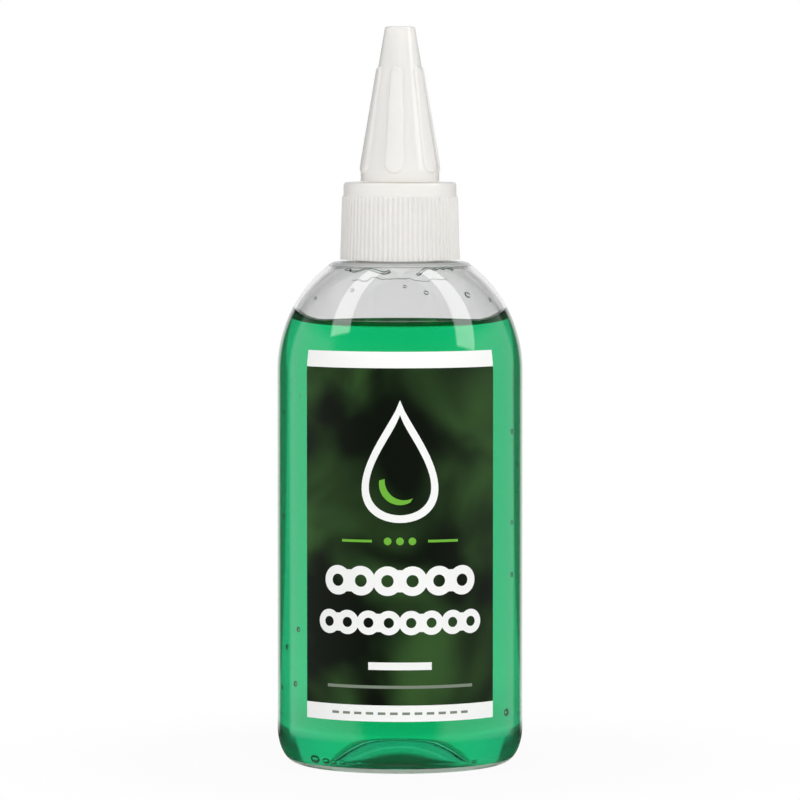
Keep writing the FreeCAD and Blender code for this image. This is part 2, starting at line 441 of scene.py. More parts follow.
@dataclass(frozen=True)
class MouldedPolypropylene(Finish):
    """White polypropylene from a lightly etched mould: satin, a little soft inside, with a fine grain."""

    name: str = "moulded_polypropylene"
    light: str = "#f3f1ed"
    shade_tone: str = "#ebe9e4"
    ior: float = 1.49
    roughness: Point = (0.36, 0.48)
    softness: float = 0.15
    soft_mm: float = 0.9
    # Painted glow: the skirt's inside, the cap's thread and the spout's foot give off light of their own,
    # standing in for light that comes through thin walls, so that the gaps between the parts are not dark.
    painted_glow: float = 0.0
    cloud_mm: float = 9.0
    # The etched grain is about 0.05 mm on the real mould and is drawn coarser, so that it shows.
    grain_mm: float = 0.22
    grain_depth_mm: float = 0.05
    grain_strength: float = 0.12

    def shade(self, tree: Tree) -> dict[str, Node]:
        """Return the satin plastic with its faint clouds and grain."""
        spot = node(tree, "ShaderNodeTexCoord").outputs["Object"]
        clouds = {"Vector": spot, "Scale": 1 / (self.cloud_mm * MM), "Detail": 3.0}
        cloud = node(tree, "ShaderNodeTexNoise", clouds).outputs["Fac"]
        tones = {0: cloud, 6: linear(self.light), 7: linear(self.shade_tone)}
        tone = node(tree, "ShaderNodeMix", tones, data_type="RGBA").outputs[2]
        grains = {"Vector": spot, "Scale": 1 / (self.grain_mm * MM), "Detail": 2.0}
        grain = node(tree, "ShaderNodeTexNoise", grains).outputs["Fac"]
        bumps = {"Height": grain, "Strength": self.grain_strength, "Distance": self.grain_depth_mm * MM}
        rough = {"Value": grain, "To Min": self.roughness[0], "To Max": self.roughness[1]}
        plastic = {
            "Base Color": tone,
            "Roughness": node(tree, "ShaderNodeMapRange", rough),
            "IOR": self.ior,
            "Subsurface Weight": self.softness,
            "Subsurface Radius": (1.0, 0.97, 0.92),
            "Subsurface Scale": self.soft_mm * MM,
            # Painted glow, where the finish has one.
            "Emission Color": tone,
            "Emission Strength": self.painted_glow,
            "Normal": node(tree, "ShaderNodeBump", bumps),
        }
        return {"Surface": node(tree, "ShaderNodeBsdfPrincipled", plastic)}


@dataclass(frozen=True)
class FoamedPolyethylene(Finish):
    """Foamed polyethylene sheet, punched: matt and off-white, with fine cut cells."""

    name: str = "foamed_polyethylene"
    sheet: str = "#e9e8e2"
    cell_tone: str = "#d2d0c8"
    cell_mm: float = 0.35
    cell_depth_mm: float = 0.08
    cell_strength: float = 0.4
    roughness: float = 0.8

    def shade(self, tree: Tree) -> dict[str, Node]:
        """Return the matt sheet with its cells."""
        spot = node(tree, "ShaderNodeTexCoord").outputs["Object"]
        pattern = {"Vector": spot, "Scale": 1 / (self.cell_mm * MM)}
        cell = node(tree, "ShaderNodeTexVoronoi", pattern).outputs["Distance"]
        tones = {0: cell, 6: linear(self.cell_tone), 7: linear(self.sheet)}
        tone = node(tree, "ShaderNodeMix", tones, data_type="RGBA").outputs[2]
        bumps = {"Height": cell, "Strength": self.cell_strength, "Distance": self.cell_depth_mm * MM}
        relief = node(tree, "ShaderNodeBump", bumps)
        foam = {"Base Color": tone, "Roughness": self.roughness, "Normal": relief}
        return {"Surface": node(tree, "ShaderNodeBsdfPrincipled", foam)}


@dataclass(frozen=True)
class PrintedFilm(Finish):
    """Polypropylene label film and the ink on it: smooth under a satin varnish that is a little uneven."""

    name: str
    colour: str
    glow: str | None = None
    glow_mm: float = 26.0
    glow_range: Point = (0.4, 0.66)
    varnish_mm: float = 0.6
    roughness: Point = (0.38, 0.5)
    ior: float = 1.5
    # The satin varnish mirrors hardly anything.
    gloss: float = 0.1

    def shade(self, tree: Tree) -> dict[str, Node]:
        """Return the varnished film, with a soft glow of a second tone where the ink has one."""
        spot = node(tree, "ShaderNodeTexCoord").outputs["Object"]
        coat = {"Vector": spot, "Scale": 1 / (self.varnish_mm * MM), "Detail": 2.0}
        varnish = node(tree, "ShaderNodeTexNoise", coat).outputs["Fac"]
        rough = {"Value": varnish, "To Min": self.roughness[0], "To Max": self.roughness[1]}
        film = {
            "Base Color": linear(self.colour),
            "Roughness": node(tree, "ShaderNodeMapRange", rough),
            "IOR": self.ior,
            "Specular IOR Level": self.gloss,
        }
        if self.glow:
            clouds = {"Vector": spot, "Scale": 1 / (self.glow_mm * MM), "Detail": 2.5, "Distortion": 0.6}
            cloud = node(tree, "ShaderNodeTexNoise", clouds).outputs["Fac"]
            ends = {"Value": cloud, "From Min": self.glow_range[0], "From Max": self.glow_range[1]}
            share = node(tree, "ShaderNodeMapRange", ends, interpolation_type="SMOOTHSTEP")
            tones = {0: share, 6: linear(self.colour), 7: linear(self.glow)}
            film["Base Color"] = node(tree, "ShaderNodeMix", tones, data_type="RGBA").outputs[2]
        return {"Surface": node(tree, "ShaderNodeBsdfPrincipled", film)}


@dataclass(frozen=True)
class Room:
    """The room round the object: what gloss mirrors of it and what glass shows of it, by direction."""

    dark_level: float = 0.12
    panels: tuple[Point, ...] = (
        (-57, 0.85),
        (-51, 0.04),
        (-28, 0.04),
        (-21, 1.0),
        (21, 1.0),
        (28, 0.06),
        (43, 0.06),
        (48, 0.6),
    )
    panel_level: float = 0.85
    panel_edge: float = 12.0
    panel_tops: Point = (18.0, 27.0)
    ceiling_foot: Point = (34.0, 46.0)
    # Glass sees shades that set in between two angles: round the sides, above their corners and overhead.
    inner_side: Point = (12.0, 46.0)
    inner_shade: float = 0.16
    outer_side: Point = (50.0, 54.0)
    outer_shade: float = 0.54
    sides_end: Point = (72.0, 84.0)
    corner_lean: float = 1.1
    corner_side: Point = (48.0, 53.0)
    corner_foot: Point = (2.0, 7.0)
    corner_shade: float = 0.82
    overhead_foot: Point = (22.0, 38.0)
    overhead_shade: float = 0.9

    def mirrored(
        self, tree: Tree, bearing: Node, height: Node | float, reach: float, dark: float
    ) -> Node:
        """Return what gloss shows of the room: bright panels, dark gaps and a pale ceiling over the sides.

        Args:
            tree: The tree of the world or of a surface in the room.
            bearing: The direction's turn from straight behind, in radians.
            height: Its angle above the level, in radians.
            reach: How far round the side panels go, in degrees.
            dark: The level beyond them.

        Returns:
            The room's level.
        """
        turn = node(tree, "ShaderNodeMapRange", {0: bearing, 1: -math.pi, 2: math.pi})
        ramp = node(tree, "ShaderNodeValToRGB", {0: turn})
        stops = ramp.color_ramp.elements
        for stop in stops:
            stop.color = grey(dark)
        ends = [(reach, self.panel_level), (reach + self.panel_edge, dark)]
        for degrees, level in (*self.panels, *ends, *((-degrees, level) for degrees, level in ends)):
            stops.new(0.5 + degrees / 360).color = grey(level)
        low, high = (math.radians(angle) for angle in self.panel_tops)
        fade = node(tree, "ShaderNodeMapRange", {0: height, 1: low, 2: high, 3: 1.0, 4: self.dark_level})
        low, high = (math.radians(angle) for angle in self.ceiling_foot)
        above = node(tree, "ShaderNodeMapRange", {0: height, 1: low, 2: high})
        shown = node(tree, "ShaderNodeMath", {0: fade, 1: above}, operation="MAXIMUM")
        return node(tree, "ShaderNodeMath", {0: ramp, 1: shown}, operation="MULTIPLY")

    def seen_through(self, tree: Tree, bearing: Node, height: Node | float) -> Node:
        """Return what glass shows of the room: white, darker at both sides and most so overhead.

        Args:
            tree: The tree of the world or of a surface in the room.
            bearing: The direction's turn from straight behind, in radians.
            height: Its angle above the level, in radians.

        Returns:
            The room's level.
        """

        def step(value: Node | float, angles: Point, top: float = 1.0) -> Node:
            """Return a smooth step from 0 to top between two angles in degrees."""
            ends = {0: value, 1: math.radians(angles[0]), 2: math.radians(angles[1]), 4: top}
            return node(tree, "ShaderNodeMapRange", ends, interpolation_type="SMOOTHSTEP")

        side = node(tree, "ShaderNodeMath", {0: bearing}, operation="ABSOLUTE")
        slant = {0: height, 1: self.corner_lean, 2: side}
        lean = node(tree, "ShaderNodeMath", slant, operation="MULTIPLY_ADD")
        beyond = step(lean, self.corner_side, self.corner_shade)
        lifted = step(height, self.corner_foot)
        corner = node(tree, "ShaderNodeMath", {0: beyond, 1: lifted}, operation="MULTIPLY")
        inner = step(side, self.inner_side, self.inner_shade)
        outer = step(side, self.outer_side, self.outer_shade)
        sides = node(tree, "ShaderNodeMath", {0: inner, 1: outer})
        dim = node(tree, "ShaderNodeMath", {0: corner, 1: sides}, operation="MAXIMUM")
        past = step(side, self.sides_end)
        near = node(tree, "ShaderNodeMath", {0: 1.0, 1: past}, operation="SUBTRACT")
        beside = node(tree, "ShaderNodeMath", {0: dim, 1: near}, operation="MULTIPLY")
        overhead = step(height, self.overhead_foot, self.overhead_shade)
        shade = node(tree, "ShaderNodeMath", {0: beside, 1: overhead}, operation="MAXIMUM")
        return node(tree, "ShaderNodeMath", {0: 1.0, 1: shade}, operation="SUBTRACT")

    def level(
        self,
        tree: Tree,
        bearing: Node,
        height: Node | float,
        plain: float,
        panels: Point,
        painted_gloss_shade: Node | float = 1.0,
        clear: Node | float = 1.0,
    ) -> Node:
        """Return the room's level for each kind of ray.

        Args:
            tree: The tree of the world or of a surface in the room.
            bearing: The direction's turn from straight behind, in radians.
            height: Its angle above the level, in radians.
            plain: The level for what is matt.
            panels: How far round the side panels go, in degrees, and the level beyond them.
            painted_gloss_shade: The share of the level that gloss shows.
            clear: The share of the level that glass shows. Below 1, this share and the one for gloss paint
                a shadow.

        Returns:
            The level: white to the camera, and as the room shows it to gloss and glass.
        """
        path = node(tree, "ShaderNodeLightPath").outputs
        room = self.mirrored(tree, bearing, height, *panels)
        mirrored = node(tree, "ShaderNodeMath", {0: room, 1: painted_gloss_shade}, operation="MULTIPLY")
        gloss = node(tree, "ShaderNodeMix", {0: path["Is Glossy Ray"], 2: plain, 3: mirrored})
        behind = self.seen_through(tree, bearing, height)
        through = node(tree, "ShaderNodeMath", {0: behind, 1: clear}, operation="MULTIPLY")
        glass = node(tree, "ShaderNodeMix", {0: path["Is Transmission Ray"], 2: gloss, 3: through})
        return node(tree, "ShaderNodeMix", {0: path["Is Camera Ray"], 2: glass, 3: 1.0})


@dataclass(frozen=True)
class WhiteSweep(Finish):
    """Matt white paper sweep, lit until it shows white and keeps only a faint shadow."""

    room: Room
    name: str = "white_paper_sweep"
    paper: str = "#f4f4f4"
    washed_out: float = 0.93
    # The shadow is strongest within the first distance and gone at the second, in metres.
    shadow: Point = (0.04, 0.1)
    # Painted shadow: gloss and glass see the paper under the bottle and round its foot darker, as if in
    # its shade.
    # These are the shares that gloss and glass show of it, by distance in metres.
    painted_gloss_shade: tuple[Point, ...] = ((0.0, 1.0), (0.0222, 1.0), (0.0232, 0.06), (0.048, 0.06), (0.08, 1.0))
    clear: tuple[Point, ...] = ((0.0, 0.1), (0.018, 0.1), (0.0215, 0.75), (0.07, 0.8), (0.15, 1.0))
    panels: Point = (127.0, 0.0)
    # Rays leave the bottle at its edge and not at its axis, so their turn is taken from there.
    edge: float = 0.022

    def by_distance(self, tree: Tree, away: Socket, levels: tuple[Point, ...]) -> Node:
        """Return a level that changes with the distance from the middle.

        Args:
            tree: The paper's tree.
            away: The distance in metres.
            levels: The level at each distance, from the middle outwards.

        Returns:
            The level.
        """
        reach = levels[-1][0]
        share = node(tree, "ShaderNodeMapRange", {0: away, 2: reach})
        ramp = node(tree, "ShaderNodeValToRGB", {0: share})
        stops = ramp.color_ramp.elements
        for stop, (_, level) in zip(stops, (levels[0], levels[-1])):
            stop.color = grey(level)
        for distance, level in levels[1:-1]:
            stops.new(distance / reach).color = grey(level)
        return ramp

    def shade(self, tree: Tree) -> dict[str, Node]:
        """Return the paper, washed out for what looks at it straight or through glass, with a painted
        shadow round the bottle.
        """
        path = node(tree, "ShaderNodeLightPath").outputs
        straight = {0: path["Is Camera Ray"], 1: path["Is Transmission Ray"]}
        seen = node(tree, "ShaderNodeMath", straight, operation="MAXIMUM")
        shown = node(tree, "ShaderNodeMath", {0: seen, 1: path["Is Glossy Ray"]}, operation="MAXIMUM")
        spot = node(tree, "ShaderNodeTexCoord").outputs["Object"]
        away = node(tree, "ShaderNodeVectorMath", {0: spot}, operation="LENGTH").outputs["Value"]
        fade = {0: away, 1: self.shadow[0], 2: self.shadow[1], 3: self.washed_out, 4: 1.0}
        wash = node(tree, "ShaderNodeMapRange", fade, interpolation_type="SMOOTHSTEP")
        share = node(tree, "ShaderNodeMath", {0: shown, 1: wash}, operation="MULTIPLY")
        paper = node(tree, "ShaderNodeBsdfDiffuse", {"Color": linear(self.paper)})
        x, y, _ = node(tree, "ShaderNodeSeparateXYZ", {0: spot}).outputs
        turn = node(tree, "ShaderNodeMath", {0: x, 1: y}, operation="ARCTAN2")
        near = node(tree, "ShaderNodeMath", {0: self.edge, 1: away}, operation="DIVIDE", use_clamp=True)
        shift = node(tree, "ShaderNodeMath", {0: near}, operation="ARCSINE")
        side = node(tree, "ShaderNodeMath", {0: turn}, operation="ABSOLUTE")
        moved = node(tree, "ShaderNodeMath", {0: side, 1: shift}, operation="SUBTRACT")
        way = node(tree, "ShaderNodeMath", {0: turn}, operation="SIGN")
        bearing = node(tree, "ShaderNodeMath", {0: moved, 1: way}, operation="MULTIPLY")
        # Painted shadow of the bottle, in what gloss and glass see of the paper.
        painted_gloss_shade = self.by_distance(tree, away, self.painted_gloss_shade)
        clear = self.by_distance(tree, away, self.clear)
        level = self.room.level(tree, bearing, 0.0, 1.0, self.panels, painted_gloss_shade, clear)
        light = node(tree, "ShaderNodeEmission", {"Color": grey(1.0), "Strength": level})
        return {"Surface": node(tree, "ShaderNodeMixShader", {0: share, 1: paper, 2: light})}


@dataclass(frozen=True)
class StripLight(Finish):
    """Diffuser cloth of a strip light: bright along its middle and fading to its edges."""

    name: str
    level: float
    end_fade: float = 0.06
    side_fade: float = 0.14

    def shade(self, tree: Tree) -> dict[str, Node]:
        """Return the glow, faded across and along the strip."""
        spot = node(tree, "ShaderNodeTexCoord").outputs["UV"]
        u, v, _ = node(tree, "ShaderNodeSeparateXYZ", {0: spot}).outputs
        fades = []
        for way, edge in ((u, self.end_fade), (v, self.side_fade)):
            back = node(tree, "ShaderNodeMath", {0: 1.0, 1: way}, operation="SUBTRACT")
            near = node(tree, "ShaderNodeMath", {0: way, 1: back}, operation="MINIMUM")
            soft = node(tree, "ShaderNodeMapRange", {0: near, 2: edge}, interpolation_type="SMOOTHSTEP")
            fades.append(soft)
        fade = node(tree, "ShaderNodeMath", {0: fades[0], 1: fades[1]}, operation="MULTIPLY")
        glow = node(tree, "ShaderNodeMath", {0: fade, 1: self.level}, operation="MULTIPLY")
        return {"Surface": node(tree, "ShaderNodeEmission", {"Strength": glow})}


@dataclass
class ScrewThread:
    """One start of a right-hand screw thread that fades into its wall at both ends."""

    name: str
    wall_radius: float
    foot: float
    outwards: bool
    pitch: float = 3.175
    turns: float = 1.75
    depth: float = 0.85
    root_width: float = 1.1
    crest_width: float = 0.55
    root: float = 0.1
    # Each end fades over this share of the thread's length, down to a tip of this share of its section.
    end_fade: float = 0.09
    end_tip: float = 0.05

    def build(self, material: Material) -> Mesh:
        """Return the thread as a closed ridge.

        Args:
            material: The material of the wall that carries it.

        Returns:
            The ridge, rooted a little way in the wall.
        """
        side = 1 if self.outwards else -1
        low, high = (self.root_width, self.crest_width)[::side]
        growth = Growth(
            self.name,
            {
                "Turns": self.turns,
                "Radius": (self.wall_radius - side * self.root) * MM,
                "Rise": self.turns * self.pitch * MM,
                "Foot": self.foot * MM,
                "Inner width": low * MM,
                "Outer width": high * MM,
                "Depth": (self.depth + self.root) * MM,
                "Shift": side * (self.depth + self.root) / 2 * MM,
            },
        )
        tree = growth.tree
        turns = {"Resolution": 72, "Rotations": growth["Turns"], "Height": growth["Rise"]}
        radii = {"Start Radius": growth["Radius"], "End Radius": growth["Radius"]}
        helix = node(tree, "GeometryNodeCurveSpiral", {**turns, **radii})
        lift = node(tree, "ShaderNodeCombineXYZ", {2: growth["Foot"]})
        raised = node(tree, "GeometryNodeSetPosition", {0: helix, "Offset": lift})
        upright = node(tree, "GeometryNodeSetCurveNormal", {0: raised}, mode="Z_UP")
        widths = {"Bottom Width": growth["Inner width"], "Top Width": growth["Outer width"], "Offset": 0.0}
        section = {**widths, "Height": growth["Depth"]}
        flank = node(tree, "GeometryNodeCurvePrimitiveQuadrilateral", section, mode="TRAPEZOID")
        shift = node(tree, "ShaderNodeCombineXYZ", {1: growth["Shift"]})
        seated = node(tree, "GeometryNodeTransform", {0: flank, "Translation": shift})
        along = node(tree, "GeometryNodeSplineParameter").outputs["Factor"]
        rest = node(tree, "ShaderNodeMath", {0: 1.0, 1: along}, operation="SUBTRACT")
        nearest = node(tree, "ShaderNodeMath", {0: along, 1: rest}, operation="MINIMUM")
        ends = {0: nearest, 2: self.end_fade, 3: self.end_tip}
        fade = node(tree, "ShaderNodeMapRange", ends, interpolation_type="SMOOTHSTEP")
        swept = {0: upright, 1: seated, "Scale": fade, "Fill Caps": True}
        ridge = node(tree, "GeometryNodeCurveToMesh", swept)
        return growth.run(ridge, material, bpy.data.meshes.new(self.name))


@dataclass
class Bottle:
    """The blown bottle: push-up base, straight wall, domed shoulder and threaded neck."""

    radius: float = 24.5
    dome_start: float = 78.1
    dome_rise: float = 26.0
    wall: float = 0.7
    base_wall: float = 2.0
    ledge_radius: float = 13.315
    ledge_z: float = 99.925
    ceiling_z: float = 99.175
    heel_height: float = 6.9
    inner_heel: float = 9.2
    ring_outer: float = 20.7
    ring_inner: float = 19.4
    pushup_radius: float = 10.5
    pushup_foot: float = 0.5
    pushup_rise: float = 3.1
    # The arcs of the push-up and the dome stop so many degrees before their corners, which are rounded.
    pushup_trim: float = 4.0
    dome_trim: float = 1.2
    neck_radius: float = 8.65
    bore_radius: float = 7.0
    rim_z: float = 113.325
    thread_foot: float = 105.6
    wet_z: float = 88.7
    # The oil clings a little higher at both sides, where it was last tilted to, and lower behind.
    wet_climb: float = 2.0
    climb_turns: Point = (42.0, 88.0)
    wet_sag: float = 0.8
    stipple_top: float = 1.15
    # The ledge's rounded edge reaches this far below and above it.
    ledge_edge: Point = (0.6, 0.4)
    # A face belongs to the floor, the standing edge, the ledge or the inside if its normal leans so far.
    floor_lean: float = 0.3
    foot_lean: float = 0.2
    ledge_lean: float = 0.5
    side_lean: float = 0.01
    segments: int = 256
    sharp: float = 50.0
    waviness: float = 0.035
    wave_mm: float = 14.0
    # Up the wall the waves are longer by this divisor. They set in and fade between these heights.
    wave_stretch: float = 0.45
    wave_foot: Point = (6.0, 14.0)
    wave_top: Point = (91.0, 97.0)
    wave_inner: float = 15.0

    def dome_radius(self, height: float, inset: float) -> float:
        """Return the shoulder's radius at a height, on a surface inset from the outside."""
        share = max(0.0, (height - self.dome_start) / (self.dome_rise - inset))
        return (self.radius - inset) * math.sqrt(1 - share**2)

    def floor(self, lift: float, edge: float) -> list[Point]:
        """Return the base from its centre to the standing ring.

        Args:
            lift: How far the surface lies above the outside of the base.
            edge: The radius at which the ring ends and the heel starts.

        Returns:
            The points from the axis outwards.
        """
        rise = self.pushup_rise - self.pushup_foot
        ball = (self.pushup_radius**2 + rise**2) / (2 * rise)
        centre = self.pushup_rise - ball
        half = math.degrees(math.asin(self.pushup_radius / ball))
        cap = arc((0, centre + lift), (ball, ball), 90, 90 - half + self.pushup_trim, 24)
        ring = [(self.ring_inner, lift, 0.4)] if edge > self.ring_inner + 0.5 else []
        foot = (self.pushup_radius, self.pushup_foot + lift, 0.8)
        return [(0.0, cap[0][1]), *cap[1:-1], *rounded([(*cap[-1], 0), foot, *ring, (edge, lift, 0)])]

    def cavity(self, inset: float) -> list[Point]:
        """Return the cavity from the base's centre to the start of the dome, moved inwards by inset."""
        heel_edge = self.ring_outer - (self.base_wall - self.wall) - inset
        floor_z = self.base_wall + inset
        wall_radius = self.radius - self.wall - inset
        heel_centre = (heel_edge, self.inner_heel)
        heel = arc(heel_centre, (wall_radius - heel_edge, self.inner_heel - floor_z), -90, 0, 20)
        run = split((wall_radius, self.inner_heel), (wall_radius, self.dome_start), 40)
        return [*self.floor(floor_z, heel_edge)[:-1], *heel, *run, (wall_radius, self.dome_start)]

    def outside(self) -> list[Point]:
        """Return the outside from the base's centre to the rim."""
        base = self.floor(0.0, self.ring_outer)
        heel_width = self.radius - self.ring_outer
        heel = arc((self.ring_outer, self.heel_height), (heel_width, self.heel_height), -90, 0, 22)
        run = split((self.radius, self.heel_height), (self.radius, self.dome_start), 40)
        top = math.degrees(math.asin((self.ledge_z - self.dome_start) / self.dome_rise))
        dome = arc((0, self.dome_start), (self.radius, self.dome_rise), 0, top - self.dome_trim, 40)
        neck = rounded(
            [
                (*dome[-1], 0),
                (self.ledge_radius, self.ledge_z, 0.45),
                (self.neck_radius, self.ledge_z, 0.9),
                (self.neck_radius, self.rim_z, 0.4),
                (self.bore_radius, self.rim_z, 0.3),
                (self.bore_radius, self.ceiling_z, 0),
            ]
        )
        return [*base[:-1], *heel, *run, *dome[:-1], *neck[1:-1]]

    def build(self) -> Mesh:
        """Return the wall as one closed shell, a little uneven from blowing."""
        inset = self.wall
        last = math.degrees(math.asin((self.ceiling_z - self.dome_start) / (self.dome_rise - inset)))
        roof = arc((0, self.dome_start), (self.radius - inset, self.dome_rise - inset), last, 0, 40)
        throat = rounded(
            [
                (self.bore_radius, self.rim_z, 0),
                (self.bore_radius, self.ceiling_z, 0.9),
                (*roof[0], 0.5),
                (*roof[3], 0),
            ]
        )
        inside = [*throat[1:-1], *roof[3:], *reversed(self.cavity(0.0)[:-1])]
        shell = lathe([*self.outside(), *inside], self.segments)
        self.ripple(shell)
        return as_mesh(shell, "bottle", self.sharp)

    def oil_edge(self, spot: Vector) -> float:
        """Return the height at which the oil's edge clings to the wall, on the bearing of a spot."""
        turn = math.degrees(math.atan2(abs(spot.x), abs(spot.y)))
        share = progress(turn, *self.climb_turns)
        foot = self.wet_z - self.wet_sag if spot.y > 0 else self.wet_z
        return foot + (self.wet_z + self.wet_climb - foot) * share**2 * (3 - 2 * share)

    def wetted(self, face: Face) -> bool:
        """Return whether a face of the wall is on the inside and below the oil's edge."""
        inwards = face.normal.xy.dot(face.center.xy.normalized()) < -self.side_lean
        in_heel = face.center.z < self.heel_height * MM
        floor = in_heel and face.normal.z > self.floor_lean
        under = in_heel and face.normal.z < -self.floor_lean
        return face.center.z < self.oil_edge(face.center) * MM and (inwards or floor) and not under

    def stippled(self, face: Face) -> bool:
        """Return whether a face is on the standing ring or the foot of the heel."""
        outside = face.normal.z < -self.foot_lean and face.center.xy.length > self.ring_inner * MM
        return outside and face.center.z < self.stipple_top * MM

    def on_ledge(self, face: Face) -> bool:
        """Return whether a face is on the flat ledge round the neck or on its edge."""
        outside = face.normal.z > self.ledge_lean and face.center.xy.length > self.neck_radius * MM
        below, above = self.ledge_edge
        return outside and self.ledge_z - below < face.center.z / MM < self.ledge_z + above

    def skin(self, face: Face) -> WallSkin:
        """Return the surface of the wall that a face is part of."""
        if self.stippled(face):
            return WallSkin.STIPPLED
        if self.on_ledge(face):
            return WallSkin.CLOUDED
        return WallSkin.WETTED if self.wetted(face) else WallSkin.BARE

    def ripple(self, shell: Shell) -> None:
        """Push the body's surfaces inwards by the faint waves of a blown wall."""
        for vert in shell.verts:
            height = vert.co.z / MM
            share = progress(height, *self.wave_foot) * progress(height, *reversed(self.wave_top))
            if share and vert.co.xy.length > self.wave_inner * MM:
                spot = vert.co / (self.wave_mm * MM)
                spot.z *= self.wave_stretch
                depth = self.waviness * share * (0.5 + 0.5 * noise.noise(spot))
                vert.co.xy *= 1 - depth * MM / vert.co.xy.length

    def dress(self) -> None:
        """Build the bottle and its thread in clear PET and place them."""
        finishes = {
            WallSkin.BARE: BlownPet(),
            WallSkin.WETTED: BlownPet("wetted_pet", "#fbfcfb", gloss=0.0),
            WallSkin.STIPPLED: BlownPet("stippled_pet", "#e2ecdf", roughness=0.3, clearness=0.35),
            WallSkin.CLOUDED: BlownPet("clouded_pet", roughness=0.25, clearness=0.55),
        }
        wall = self.build()
        for skin in WallSkin:
            wall.materials.append(finishes[skin].make())
        for face in wall.polygons:
            face.material_index = self.skin(face).value
        pet = wall.materials[WallSkin.BARE.value]
        thread = ScrewThread("neck_thread", self.neck_radius, self.thread_foot, True).build(pet)
        place(joined("bottle", [wall, thread]), Body.FILLED_BOTTLE, "bottle")


@dataclass(frozen=True)
class Bead:
    """A bubble or drop on the wall's inside: turn from the front, height, size and thickness share."""

    turn: float
    height: float
    size: float
    flat: float = 0.8


@dataclass
class Lubricant:
    """The green fill, with the air bubbles that cling to the wall and the drops left above it."""

    bottle: Bottle
    level_z: float = 86.8
    meniscus_reach: float = 4.5
    overlap: float = 0.06
    # A bubble's skin or a drop's middle lies this far from the wall.
    bead_gap: float = 0.02
    # Each line of oil under the neck: its height, the turns from the front where it starts and ends,
    # and half its thickness.
    residues: tuple[tuple[float, float, float, float], ...] = (
        (96.6, -34.0, 34.0, 0.11),
        (98.4, -48.0, -8.0, 0.3),
        (98.3, 12.0, 46.0, 0.3),
    )
    residue_wave: float = 0.8
    residue_wave_length: float = 4.6
    residue_widths: Point = (1.5, 0.45)
    seed: int = 11
    # A few bubbles behind: how many, and the ranges of their turns, heights and sizes.
    back_count: int = 9
    back_turns: Point = (145, 215)
    back_heights: Point = (16, 76)
    back_sizes: Point = (0.3, 0.6)
    wall_bubbles: tuple[Bead, ...] = (
        Bead(-71.6, 70.3, 0.5),
        Bead(-71.8, 49.6, 0.55),
        Bead(-56.7, 27.7, 0.55),
        Bead(-67.9, 23.7, 0.6, 0.6),
        Bead(-59.5, 16.8, 0.6),
        Bead(-75.0, 15.4, 0.45),
        Bead(66.4, 66.6, 0.55),
        Bead(73.2, 59.9, 0.5),
        Bead(66.5, 48.6, 0.5),
        Bead(66.6, 38.2, 0.55),
        Bead(61.5, 11.0, 0.8),
        Bead(-62.6, 76.8, 0.22),
        Bead(-62.6, 74.1, 0.22),
        Bead(-54.8, 73.9, 0.2),
        Bead(-77.0, 65.8, 0.25),
        Bead(-77.0, 58.6, 0.25),
        Bead(-71.7, 54.3, 0.25),
        Bead(73.3, 79.1, 0.25),
        Bead(77.7, 76.5, 0.25),
        Bead(80.3, 74.5, 0.22),
        Bead(77.7, 68.3, 0.3),
        Bead(80.0, 44.3, 0.25),
    )
    heel_bubble_radius: float = 19.9
    heel_bubbles: tuple[Bead, ...] = (
        Bead(-51.0, 2.8, 1.0, 0.6),
        Bead(-43.0, 2.62, 0.75, 0.6),
        Bead(-37.8, 2.55, 0.6, 0.6),
        Bead(-32.0, 2.55, 0.6, 0.6),
        Bead(-22.0, 2.5, 0.5, 0.6),
        Bead(43.3, 2.5, 0.5, 0.6),
    )
    drops: tuple[Bead, ...] = (
        Bead(16.0, 94.2, 0.5, 0.2),
        Bead(44.0, 93.6, 0.7, 0.2),
        Bead(3.0, 95.4, 0.4, 0.2),
        Bead(-31.0, 94.6, 0.45, 0.2),
        Bead(-58.0, 92.8, 0.4, 0.2),
        Bead(63.0, 92.4, 0.45, 0.2),
    )

    def build(self) -> Mesh:
        """Return the fill, which sinks a hair into the wall so that no air shows between them."""
        inset = self.bottle.wall - self.overlap
        contact_z = self.bottle.wet_z + self.bottle.wet_climb
        radii = (self.bottle.radius - inset, self.bottle.dome_rise - inset)
        last = math.degrees(math.asin((contact_z - self.bottle.dome_start) / radii[1]))
        side = arc((0, self.bottle.dome_start), radii, 0, last, 30)
        middle = side[-1][0] - self.meniscus_reach
        curl = arc((middle, contact_z), (self.meniscus_reach, contact_z - self.level_z), 0, -90, 16)
        profile = [*self.bottle.cavity(-self.overlap), *side[1:], *curl[1:], (0.0, self.level_z)]
        shell = lathe(profile, self.bottle.segments)
        for vert in shell.verts:
            height = vert.co.z / MM
            if height > self.level_z + 0.001:
                share = (self.bottle.oil_edge(vert.co) - self.level_z) / (contact_z - self.level_z)
                settled = self.level_z + (height - self.level_z) * share
                spread = self.bottle.dome_radius(settled, inset) - self.bottle.dome_radius(height, inset)
                vert.co.xy *= 1 + spread * MM / vert.co.xy.length
                vert.co.z = settled * MM
        self.bottle.ripple(shell)
        return as_mesh(shell, "lube_fill", self.bottle.sharp)

    def wall_point(self, bead: Bead, clear: float) -> tuple[Vector, Vector]:
        """Return a bead's place and the wall's outward direction there, clear of the wall by so much."""
        turn = FRONT + math.radians(bead.turn)
        inset = self.bottle.wall
        radius = self.bottle.dome_radius(bead.height, inset)
        rise = max(0.0, bead.height - self.bottle.dome_start)
        squash = (self.bottle.radius - inset) / (self.bottle.dome_rise - inset)
        slope = math.atan2(rise * squash**2, radius)
        level = math.cos(slope)
        outward = Vector((math.cos(turn) * level, math.sin(turn) * level, math.sin(slope)))
        spot = Vector((math.cos(turn) * radius, math.sin(turn) * radius, bead.height))
        return spot - outward * clear, outward

